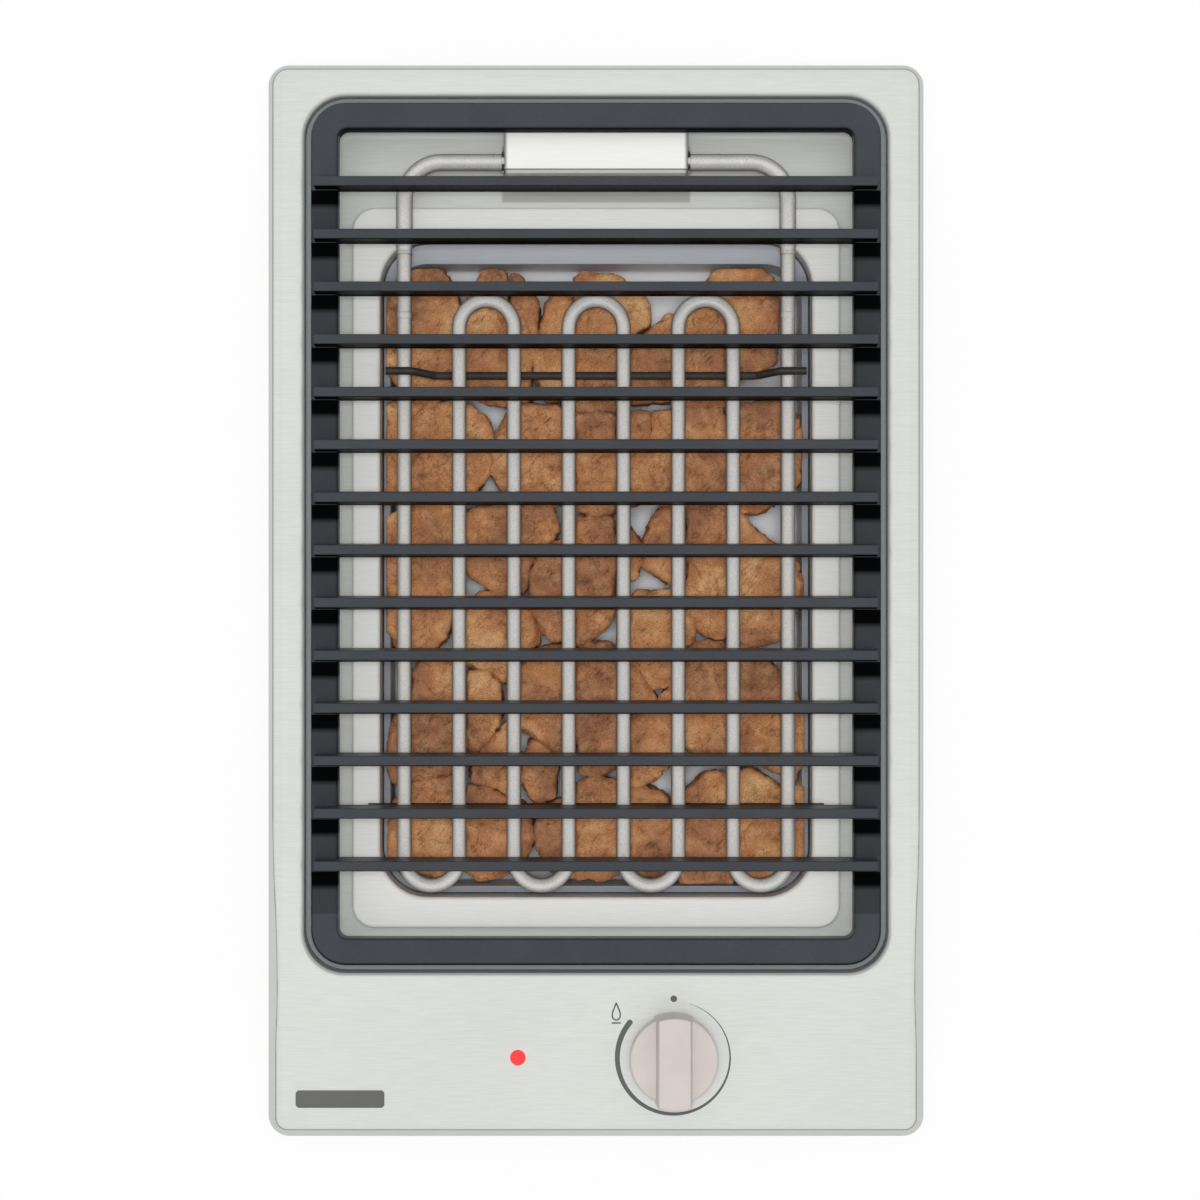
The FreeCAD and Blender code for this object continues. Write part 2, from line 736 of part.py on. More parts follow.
def make_plate_hollow():
    """Make the space under the plate: the skirt's inside, below the sheet and outside the well."""
    body = new_body("plate_hollow")
    plan = new_sketch(body, "hollow_plan", "XY_Plane", "worktop_height")
    rounded_plan(plan, "hollow_width", "hollow_length", "hollow_corner")
    pad(body, "hollow_form", plan, "form_height", taper="skirt_angle")
    cut_above_wave(body, "hollow_top", "plate_sheet")
    plan = new_sketch(body, "well_plug_plan", "XY_Plane", "trim_height")
    rounded_plan(plan, "well_outer_width", "well_outer_length", "well_outer_corner", "well_shift")
    pocket(body, "well_plug", plan)
    bend(body, "rim_inside", "rim_bend - plate_sheet", mouth_edges("well_outer_width", "well_outer_length"))
    return body


def make_top_plate():
    """Press the plate: skirt and wave first, then the well's two steps, then the bends and the holes."""
    hollow = make_plate_hollow()
    body = new_body("top_plate")
    plan = new_sketch(body, "plate_plan", "XY_Plane", "worktop_height")
    rounded_plan(plan, "plate_width", "plate_length", "plate_corner")
    pad(body, "plate_form", plan, "form_height", taper="skirt_angle")
    cut_above_wave(body, "plate_wave")
    bend(body, "skirt_bend", "edge_bend", skirt_edges)

    plan = new_sketch(body, "recess_shell_plan", "XY_Plane", "worktop_height")
    rounded_plan(plan, "well_outer_width", "well_outer_length", "well_outer_corner", "well_shift")
    pad(body, "recess_shell", plan, "worktop_height - ledge_z + plate_sheet", reverse=True)
    plan = new_sketch(body, "basin_shell_plan", "XY_Plane", "ledge_z")
    rounded_plan(plan, "basin_outer_width", "basin_outer_length", "basin_outer_corner", "well_shift")
    pad(body, "basin_shell", plan, "ledge_z - floor_z + plate_sheet", reverse=True)

    cut_away = body.newObject("PartDesign::Boolean", "plate_underside")
    cut_away.Type = "Cut"
    cut_away.setObjects([hollow])
    body.Tip = cut_away

    plan = new_sketch(body, "recess_plan", "XY_Plane", "trim_height")
    rounded_plan(plan, "well_width", "well_length", "well_corner", "well_shift")
    pocket(body, "recess", plan, "trim_height - ledge_z")
    bend(body, "rim", "rim_bend", mouth_edges("well_width", "well_length"))
    plan = new_sketch(body, "basin_plan", "XY_Plane", "ledge_z")
    rounded_plan(plan, "basin_width", "basin_length", "basin_corner", "well_shift")
    pocket(body, "basin", plan, "ledge_z - floor_z")
    basin = ("basin_width", "basin_length", "well_shift")
    bend(body, "ledge_nose", "ledge_bend", level_edges(number("ledge_z"), *basin))
    bend(body, "floor_round", "floor_bend", level_edges(number("floor_z"), *basin))
    underside = number("floor_z") - number("plate_sheet")
    bend(body, "floor_outside", "floor_bend + plate_sheet", level_edges(underside))

    plan = new_sketch(body, "tray_opening_plan", "XY_Plane", "floor_z")
    rounded_plan(plan, "opening_width", "opening_length", "opening_corner", "tray_shift")
    pocket(body, "tray_opening", plan, "2 * plate_sheet")
    plan = new_sketch(body, "floor_holes_plan", "XY_Plane", "floor_z")
    circle(plan, "conduit_radius + hole_gap", y="conduit_y")
    for side in ("0 - ", ""):
        circle(plan, "pivot_screw_radius + hole_gap", f"{side}pivot_screw_span / 2", "pivot_screw_y")
    pocket(body, "floor_holes", plan, "2 * plate_sheet")
    plan = new_sketch(body, "panel_holes_plan", "XY_Plane", "crest_top")
    circle(plan, "spindle_hole", "knob_x", "knob_y")
    circle(plan, "lens_radius + running_gap", "lamp_x", "lamp_y")
    pocket(body, "panel_holes", plan, "crest_rise")
    return body


# Cast-iron grid: a rounded frame that lies on the ledge, with bars that stand above it


def make_grid():
    """Cast the frame, then one bar, and repeat the bar along the frame."""
    body = new_body("grid")
    plan = new_sketch(body, "frame_plan", "XY_Plane", "grid_z")
    rounded_plan(plan, "grid_width", "grid_length", "grid_corner", "well_shift")
    rounded_plan(plan, "window_width", "window_length", "window_corner", "well_shift")
    pad(body, "frame", plan, "grid_thickness")
    bend(body, "frame_bend", "grid_bend", level_edges(number("rail_top")))
    section = new_sketch(body, "bar_section", "YZ_Plane")
    crowned_section(section)
    bar = pad(body, "bar", section, "grid_width - 2 * bar_inset", midplane=True)
    rows = body.newObject("PartDesign::LinearPattern", "bars")
    rows.Originals = [bar]
    rows.Direction = (section, ["H_Axis"])
    rows.Reversed = True
    bind(rows, Occurrences="bar_count", Length="bar_pitch * (bar_count - 1)")
    body.Tip = rows
    return body


def crowned_section(sketch):
    """Draw a bar's section: a foot, two leaning sides and a top with rounded edges."""
    middle = number("first_bar_y")
    low, high = number("bar_z"), number("bar_z") + number("bar_height")
    foot, top, crown = number("bar_foot") / 2, number("bar_top") / 2, number("bar_crown")
    outline = [
        ((middle - foot, low), (middle + foot, low)),
        ((middle + foot, low), (middle + top, high - crown)),
        ((middle + top - crown, high), (middle - top + crown, high)),
        ((middle - top, high - crown), (middle - foot, low)),
    ]
    for start, end in outline:
        sketch.addGeometry(Part.LineSegment(Vector(*start, 0), Vector(*end, 0)), False)
    for side, start in ((1, 0.0), (-1, math.pi / 2)):
        arc = Part.Circle(Vector(middle + side * (top - crown), high - crown, 0), Vector(0, 0, 1), crown)
        sketch.addGeometry(Part.ArcOfCircle(arc, start, start + math.pi / 2), False)
    join = sketch.addConstraint
    join(Sketcher.Constraint("Coincident", 0, 2, 1, 1))
    join(Sketcher.Constraint("Tangent", 1, 2, 4, 1))
    join(Sketcher.Constraint("Tangent", 4, 2, 2, 1))
    join(Sketcher.Constraint("Tangent", 2, 2, 5, 1))
    join(Sketcher.Constraint("Tangent", 5, 2, 3, 1))
    join(Sketcher.Constraint("Coincident", 3, 2, 0, 1))
    join(Sketcher.Constraint("Horizontal", 0))
    join(Sketcher.Constraint("Horizontal", 2))
    join(Sketcher.Constraint("Equal", 4, 5))
    join(Sketcher.Constraint("Equal", 1, 3))
    datum(sketch, "Radius", 4, to="bar_crown")
    datum(sketch, "DistanceX", 0, 1, 0, 2, to="bar_foot")
    datum(sketch, "DistanceX", 5, 3, 4, 3, to="bar_top - 2 * bar_crown")
    datum(sketch, "DistanceX", -1, 1, 0, 1, to="first_bar_y - bar_foot / 2")
    datum(sketch, "DistanceY", -1, 1, 0, 1, to="bar_z")
    datum(sketch, "DistanceY", 0, 1, 2, 1, to="bar_height")


# Tubes and wires that are bent from straight stock


def bent_line(corners, radius):
    """Return a wire through the corners, with an arc of the radius, or of its own, at each inner one.

    A corner is a point, or a point and the radius of its own arc.
    """
    points = [Vector(*corner[:3]) for corner in corners]
    radii = [corner[3] if len(corner) > 3 else radius for corner in corners]
    edges = []
    start = points[0]
    for index in range(1, len(points) - 1):
        before = (points[index] - points[index - 1]).normalize()
        after = (points[index + 1] - points[index]).normalize()
        turn = before.getAngle(after)
        reach = radii[index] * math.tan(turn / 2)
        arc_start = points[index] - before * reach
        arc_end = points[index] + after * reach
        inward = (after - before).normalize()
        centre = points[index] + inward * (radii[index] / math.cos(turn / 2))
        arc_middle = centre - inward * radii[index]
        if (arc_start - start).Length > 0.001:
            edges.append(Part.LineSegment(start, arc_start).toShape())
        edges.append(Part.Arc(arc_start, arc_middle, arc_end).toShape())
        start = arc_end
    edges.append(Part.LineSegment(start, points[-1]).toShape())
    return Part.Wire(edges)


def tube_along(line, radius):
    """Return a round solid of the radius along a wire."""
    first = line.Edges[0]
    direction = first.tangentAt(first.FirstParameter)
    section = Part.Wire([Part.makeCircle(radius, first.valueAt(first.FirstParameter), direction)])
    return line.makePipeShell([section], True, False)


def new_piece(label, shape):
    """Add a piece whose shape is worked out here from the sheet."""
    piece = document.addObject("Part::Feature", label)
    piece.Label = label
    piece.Shape = shape
    return piece


# Heating element: one tube in a serpentine, which swings up about its two cold ends


def heater_corners():
    """Return the corners of the heater's centre line, from its left end to its right end."""
    reach = number("heater_reach")
    pivot_y, z = number("pivot_back"), number("pivot_z")
    legs = int(number("leg_count"))
    pitch = number("leg_pitch")
    turn = pitch / 2
    end_bend = number("end_bend")
    outer = number("outer_leg")
    corners = [(-reach, pivot_y, z), (-outer, pivot_y, z, end_bend)]
    for leg in range(legs - 1):
        left = -outer + leg * pitch
        at_front = leg % 2 == 0
        y = -number("front_turn") - turn if at_front else number("back_turn") + turn
        corners.append((left, y, z, turn))
        corners.append((left + pitch, y, z, turn))
    corners.append((outer, pivot_y, z, end_bend))
    corners.append((reach, pivot_y, z))
    return corners


def make_heater():
    """Bend the heater's tube."""
    return new_piece(
        "heating_element", tube_along(
            bent_line(heater_corners(), number("end_bend")), number("heater_radius")
        )
    )


def make_cold_sleeve(name, side):
    """Make the thicker sleeve over one cold end, round its corner."""
    pivot_y, z = number("pivot_back"), number("pivot_z")
    outer = number("outer_leg") * side
    start = (number("cover_width") / 2 + number("bush_flange") + number("hole_gap")) * side
    corners = [
        (start, pivot_y, z), (outer, pivot_y, z, number("end_bend")), (outer, number("sleeve_line"), z)
    ]
    line = bent_line(corners, number("end_bend"))
    shell = tube_along(line, number("sleeve_radius"))
    bore = tube_along(line, number("heater_radius") + number("running_gap") / 2)
    return new_piece(name, shell.cut(bore))


def make_front_rod():
    """Make the straight rod under all legs, whose ends lie on the tray's flange."""
    half, y = number("front_rod_half"), -number("front_rod_line")
    rod = Part.makeCylinder(
        number("rod_radius"), 2 * half, Vector(-half, y, number("rod_z")), Vector(1, 0, 0)
    )
    return new_piece("front_rod", rod)


def make_back_rod():
    """Make the cranked rod: over the two outer legs and under all the others."""
    half, y = number("back_rod_half"), number("back_rod_line")
    low, high = number("rod_z"), number("rod_end_z")
    skew = number("rod_skew")
    outer_foot = number("outer_leg") - number("heater_radius")
    inner_foot = outer_foot - (high - low)
    corners = [(-half, y + skew, high), (-outer_foot, y + skew, high), (-inner_foot, y, low)]
    corners += [(inner_foot, y, low), (outer_foot, y + skew, high), (half, y + skew, high)]
    return new_piece("back_rod", tube_along(bent_line(corners, number("rod_bend")), number("rod_radius")))


def make_end_seals():
    """Make the ceramic seals on the heater's two ends."""
    seals = []
    for side in (-1, 1):
        start = Vector(
            side * (number("heater_reach") - number("seal_length")), number("pivot_back"), number("pivot_z")
        )
        length = number("seal_length") - number("running_gap") / 2
        seals.append(Part.makeCylinder(number("seal_radius"), length, start, Vector(side, 0, 0)))
    return new_piece("end_seals", Part.makeCompound(seals))


def make_end_pins():
    """Make the two contact pins, which turn in the lead block's sockets."""
    pins = []
    for side in (-1, 1):
        tip = number("heater_reach") - number("seal_length") - number("pin_length")
        start = Vector(side * tip, number("pivot_back"), number("pivot_z"))
        length = number("pin_length") - number("running_gap") / 2
        pins.append(Part.makeCylinder(number("pin_radius"), length, start, Vector(side, 0, 0)))
    return new_piece("end_pins", Part.makeCompound(pins))


# Part primitives


AXES = {
    "X": Rotation(Vector(0, 1, 0), 90),
    "Y": Rotation(Vector(1, 0, 0), -90),
    "Z": Rotation(),
    "-Z": Rotation(Vector(1, 0, 0), 180),
}


def stand(item, x, y, z):
    """Bind an object's place to formulas."""
    bind(item, Placement__Base__x=x, Placement__Base__y=y, Placement__Base__z=z)
    return item


def rod(name, radius, length, x="0", y="0", z="0", axis="Z"):
    """Add a cylinder that starts at a place and runs along an axis."""
    item = document.addObject("Part::Cylinder", name)
    item.Placement = Placement(Vector(), AXES[axis])
    bind(item, Radius=radius, Height=length)
    return stand(item, x, y, z)


def cone(name, low_radius, high_radius, length, x="0", y="0", z="0"):
    """Add a cone that stands at a place."""
    item = document.addObject("Part::Cone", name)
    bind(item, Radius1=low_radius, Radius2=high_radius, Height=length)
    return stand(item, x, y, z)


def block(name, width, length, height, x="0", y="0", z="0"):
    """Add a box with its middle at x and y, standing at z."""
    item = document.addObject("Part::Box", name)
    bind(item, Length=width, Width=length, Height=height)
    return stand(item, f"{x} - ({width}) / 2", f"{y} - ({length}) / 2", z)


def hexagon(name, across, height, x="0", y="0", z="0"):
    """Add a hexagonal prism, measured across its flats, standing at a place."""
    item = document.addObject("Part::Prism", name)
    item.Polygon = 6
    bind(item, Circumradius=f"({across}) / sqrt(3)", Height=height)
    return stand(item, x, y, z)


def joined(label, *items):
    """Fuse objects into one solid."""
    item = document.addObject("Part::MultiFuse", label)
    item.Label = label
    item.Shapes = list(items)
    return item


def without(label, base, *tools):
    """Cut tools out of an object."""
    tool = tools[0] if len(tools) == 1 else joined(label + "_tools", *tools)
    item = document.addObject("Part::Cut", label)
    item.Label = label
    item.Base = base
    item.Tool = tool
    return item


def grouped(label, *items):
    """Group separate solids of one kind into one node."""
    item = document.addObject("Part::Compound", label)
    item.Label = label
    item.Links = list(items)
    return item


def halves(x, y, z="0"):
    """Return places to the left and to the right, at the same distance from the middle."""
    return [("0 - " + x, y, z), (x, y, z)]


def pan_screw(name, x, y, z, length, axis="Z", radius="screw_radius", head_radius="screw_head_radius"):
    """Make a screw with a flat round head.

    The head stands on the surface at x, y, z and the shank runs into it, against the axis.
    """
    letters = {"X": 0, "Y": 1, "Z": 2}
    out = -1 if axis.startswith("-") else 1
    which = letters[axis[-1]]
    start = [x, y, z]
    start[which] = f"{start[which]} - ({length})" if out > 0 else f"{start[which]}"
    shank = rod(name + "_shank", radius, length, *start, axis=axis[-1])
    start = [x, y, z]
    start[which] = f"{start[which]}" if out > 0 else f"{start[which]} - screw_head"
    head = rod(name + "_head", head_radius, "screw_head", *start, axis=axis[-1])
    return joined(name, shank, head)


# Pivot housing: the cover, its base with two ears, the bushes and the lead block


def make_pivot_cover():
    """Make the cover: a box open below, with a slot in each end for a bush."""
    body = new_body("pivot_cover")
    plan = new_sketch(body, "cover_plan", "XY_Plane", "cover_z")
    rounded_plan(plan, "cover_width", "cover_length", "cover_corner", "cover_y")
    pad(body, "cover_form", plan, "cover_height")
    bend(body, "cover_bend", "cover_corner", level_edges(number("cover_z") + number("cover_height")))
    plan = new_sketch(body, "cover_hollow_plan", "XY_Plane", "cover_z")
    rounded_plan(plan, "cover_inner_width", "cover_inner_length", "cover_inner_corner", "cover_y")
    pocket(body, "cover_hollow", plan, "cover_height - cover_sheet", reverse=True)
    side = new_sketch(body, "bush_slot_profile", "YZ_Plane")
    slot_below(side)
    pocket(body, "bush_slots", side)


def slot_below(sketch):
    """Draw the slot for a bush: round above, and open at the cover's lower edge."""
    y, z = number("pivot_back"), number("pivot_z")
    radius = number("bush_radius") + number("running_gap")
    foot = number("cover_z") - number("cover_sheet")
    sketch.addGeometry(
        Part.ArcOfCircle(Part.Circle(Vector(y, z, 0), Vector(0, 0, 1), radius), 0, math.pi), False
    )
    corners = [(y - radius, z), (y - radius, foot), (y + radius, foot), (y + radius, z)]
    for start, end in zip(corners, corners[1:]):
        sketch.addGeometry(Part.LineSegment(Vector(*start, 0), Vector(*end, 0)), False)
    join = sketch.addConstraint
    join(Sketcher.Constraint("Tangent", 0, 2, 1, 1))
    join(Sketcher.Constraint("Coincident", 1, 2, 2, 1))
    join(Sketcher.Constraint("Coincident", 2, 2, 3, 1))
    join(Sketcher.Constraint("Tangent", 3, 2, 0, 1))
    join(Sketcher.Constraint("Vertical", 1))
    join(Sketcher.Constraint("Horizontal", 2))
    datum(sketch, "Radius", 0, to="bush_radius + running_gap")
    datum(sketch, "DistanceX", -1, 1, 0, 3, to="pivot_back")
    datum(sketch, "DistanceY", -1, 1, 0, 3, to="pivot_z")
    datum(sketch, "DistanceY", -1, 1, 2, 1, to="cover_z - cover_sheet")


def make_pivot_base():
    """Make the base: a plate on the well's floor, with an ear at each end that carries a bush."""
    plate = block(
        "base_plate", "base_plate_width", "base_plate_length", "ear_sheet", "0", "cover_y", "floor_z"
    )
    solids = [plate]
    tools = [
        rod(
            "conduit_hole", "conduit_radius + hole_gap", "3 * ear_sheet", "0", "conduit_y",
            "floor_z - ear_sheet",
        )
    ]
    across = "(base_plate_width / 2 - ear_sheet / 2)"
    for side, (x, y, z) in zip(("left", "right"), halves(across, "cover_y", "floor_z")):
        solids.append(block(f"ear_{side}", "ear_sheet", "base_plate_length", "ear_height", x, y, z))
    for side, (x, y, z) in zip(
        ("left", "right"), halves("pivot_screw_span / 2", "pivot_screw_y", "floor_z - ear_sheet")
    ):
        tools.append(
            rod(f"base_plate_hole_{side}", "pivot_screw_radius + hole_gap", "3 * ear_sheet", x, y, z)
        )
    tools.append(
        rod(
            "ear_holes", "bush_radius + running_gap", "cover_width", "0 - cover_width / 2",
            "pivot_back", "pivot_z", "X",
        )
    )
    without("pivot_base", joined("pivot_base_form", *solids), *tools)


def make_pivot_bushes():
    """Make the two bushes in which the heater's ends turn."""
    bushes = []
    neck = "cover_sheet + running_gap + ear_sheet"
    for side, sign in (("left", -1), ("right", 1)):
        outside = "cover_width / 2" if sign > 0 else "0 - cover_width / 2 - bush_flange"
        inside = f"cover_width / 2 - ({neck})" if sign > 0 else "0 - cover_width / 2"
        flange = rod(
            f"bush_flange_{side}", "bush_flange_radius", "bush_flange", outside, "pivot_back",
            "pivot_z", "X",
        )
        body = rod(f"bush_neck_{side}", "bush_radius", neck, inside, "pivot_back", "pivot_z", "X")
        bore = rod(
            f"bush_bore_{side}", "heater_radius + running_gap / 2", "cover_width + 4 * bush_flange",
            "0 - cover_width / 2 - 2 * bush_flange", "pivot_back", "pivot_z", "X",
        )
        bushes.append(without(f"bush_{side}", joined(f"bush_form_{side}", flange, body), bore))
    grouped("pivot_bushes", *bushes)


def make_lead_block():
    """Make the ceramic block in whose sockets the heater's pins turn."""
    form = block(
        "lead_block_form", "lead_block_width", "lead_block_length", "lead_block_height", "0",
        "pivot_back", "base_plate_top",
    )
    tools = []
    socket_depth = "lead_block_width / 2 - heater_reach + seal_length + pin_length + seat_gap"
    for side, start in (
        ("left", "0 - lead_block_width / 2"), ("right", f"lead_block_width / 2 - ({socket_depth})")
    ):
        tools.append(
            rod(
                f"socket_{side}", "pin_radius + running_gap", socket_depth, start, "pivot_back",
                "pivot_z", "X",
            )
        )
    for side, (x, y, z) in zip(("left", "right"), halves("wire_spread", "pivot_back", "lead_line_z")):
        tools.append(
            rod(f"lead_socket_{side}", "wire_radius + running_gap", "lead_block_length", x, y, z, "Y")
        )
    without("lead_block", form, *tools)


def make_conduit():
    """Make the tube that leads the wires through the floor, and its nut below."""
    bottom = "floor_z - conduit_drop"
    length = "conduit_drop + ear_sheet + conduit_collar_height"
    outside = rod("conduit_tube", "conduit_radius", length, "0", "conduit_y", bottom)
    collar = rod(
        "conduit_collar_ring", "conduit_radius + conduit_collar", "conduit_collar_height", "0",
        "conduit_y", "base_plate_top",
    )
    bore = rod("conduit_bore_form", "conduit_bore", length, "0", "conduit_y", bottom)
    without("lead_conduit", joined("conduit_form", outside, collar), bore)
    nut = hexagon(
        "conduit_nut_form", "conduit_nut_across", "conduit_nut_height", "0", "conduit_y",
        "floor_z - plate_sheet - conduit_nut_height",
    )
    hole = rod("conduit_nut_hole", "conduit_radius + running_gap", "conduit_drop", "0", "conduit_y", bottom)
    without("conduit_nut", nut, hole)


def make_pivot_screws():
    """Make the two screws that hold the base on the floor, and their nuts."""
    screws, nuts = [], []
    for side, (x, y, z) in zip(
        ("left", "right"), halves("pivot_screw_span / 2", "pivot_screw_y", "base_plate_top")
    ):
        screws.append(
            pan_screw(f"pivot_screw_{side}", x, y, z, "pivot_screw_length", radius="pivot_screw_radius")
        )
        nut_z = "floor_z - plate_sheet - pivot_nut_height"
        nut = hexagon(f"pivot_nut_form_{side}", "pivot_nut_across", "pivot_nut_height", x, y, nut_z)
        hole = rod(
            f"pivot_nut_hole_{side}", "pivot_screw_radius + running_gap", "3 * pivot_nut_height", x,
            y, nut_z,
        )
        nuts.append(without(f"pivot_nut_{side}", nut, hole))
    grouped("pivot_screws", *screws)
    grouped("pivot_nuts", *nuts)


# Trays for the fat and for the stones


def make_basin_tray():
    """Draw the basin: a flange that stands on the well's floor, and a deep bowl."""
    body = new_body("basin_tray")
    plan = new_sketch(body, "flange_plan", "XY_Plane", "floor_z")
    rounded_plan(plan, "tray_width", "tray_length", "tray_corner", "tray_shift")
    pad(body, "flange_form", plan, "tray_lift")
    bend(body, "flange_bend", "tray_bend", level_edges(number("tray_z")))
    plan = new_sketch(body, "flange_hollow_plan", "XY_Plane", "floor_z")
    rounded_plan(plan, "tray_inner_width", "tray_inner_length", "tray_inner_corner", "tray_shift")
    pocket(body, "flange_hollow", plan, "tray_lift - tray_sheet", reverse=True)
    plan = new_sketch(body, "bowl_shell_plan", "XY_Plane", "tray_z - tray_sheet / 2")
    rounded_plan(plan, "bowl_outer_width", "bowl_outer_length", "bowl_outer_corner", "tray_shift")
    pad(body, "bowl_shell", plan, "bowl_depth - tray_sheet / 2", reverse=True)
    under = number("tray_z") - number("tray_sheet")
    bowl = ("bowl_outer_width", "bowl_outer_length", "tray_shift")
    bend(body, "mouth_under", "mouth_bend - tray_sheet", level_edges(under, *bowl))
    plan = new_sketch(body, "bowl_plan", "XY_Plane", "tray_z")
    rounded_plan(plan, "bowl_width", "bowl_length", "bowl_corner", "tray_shift")
    pocket(body, "bowl", plan, "bowl_depth - tray_sheet")
    bowl = ("bowl_width", "bowl_length", "tray_shift")
    bend(body, "mouth", "mouth_bend", level_edges(number("tray_z"), *bowl))
    bend(body, "bowl_inside", "bowl_round", level_edges(number("bowl_z") + number("tray_sheet"), *bowl))
    bend(body, "bowl_outside", "bowl_round + tray_sheet", level_edges(number("bowl_z")))


def make_stone_tray():
    """Draw the stone tray: a rim, a flat pan and a pattern of drain holes."""
    body = new_body("stone_tray")
    plan = new_sketch(body, "stone_rim_plan", "XY_Plane", "stone_rim_z")
    rounded_plan(plan, "stone_rim_width", "stone_rim_length", "stone_rim_corner", "tray_shift")
    pad(body, "stone_rim", plan, "stone_sheet", reverse=True)
    plan = new_sketch(body, "pan_shell_plan", "XY_Plane", "stone_rim_z - stone_sheet / 2")
    rounded_plan(plan, "stone_outer_width", "stone_outer_length", "stone_outer_corner", "stone_shift")
    pad(body, "pan_shell", plan, "stone_rim_z - stone_sheet / 2 - stone_z", reverse=True)
    plan = new_sketch(body, "pan_plan", "XY_Plane", "stone_rim_z")
    rounded_plan(plan, "stone_width", "stone_length", "stone_corner", "stone_shift")
    pocket(body, "pan", plan, "stone_rim_z - stone_z - stone_sheet")
    floor = number("stone_z") + number("stone_sheet")
    bend(
        body, "pan_inside", "stone_round", level_edges(floor, "stone_width", "stone_length", "stone_shift")
    )
    bend(body, "pan_outside", "stone_round + stone_sheet", level_edges(number("stone_z")))
    plan = new_sketch(body, "drain_plan", "XY_Plane", "stone_z + stone_sheet")
    circle(
        plan, "drain_radius", "0 - drain_pitch * (drain_columns - 1) / 2",
        "stone_shift - drain_pitch * (drain_rows - 1) / 2",
    )
    hole = pocket(body, "drain", plan, "2 * stone_sheet")
    drains = body.newObject("PartDesign::MultiTransform", "drains")
    drains.Originals = [hole]
    rows = []
    for name, axis, count in (
        ("drain_row", "H_Axis", "drain_columns"), ("drain_column", "V_Axis", "drain_rows")
    ):
        row = body.newObject("PartDesign::LinearPattern", name)
        row.Direction = (plan, [axis])
        bind(row, Occurrences=count, Length=f"drain_pitch * ({count} - 1)")
        rows.append(row)
    drains.Transformations = rows
    body.Tip = drains


# Levels of a stone: share of the height to the tray's rim, and past 1 of the height above the rim;
# least and most share of the outline; how far it stays from the pan's wall, or reaches past it
STONE_LEVELS = [
    (0.0, 0.6, 0.75, 1.0),
    (0.3, 0.86, 0.96, 0.0),
    (0.75, 0.93, 1.0, 0.0),
    (1.0, 0.97, 1.0, 0.0),
    (1.3, 1.0, 1.0, -1.0),
    (1.75, 0.84, 0.93, -1.0),
]
STONE_ROWS = 5
STONE_SEED = 7

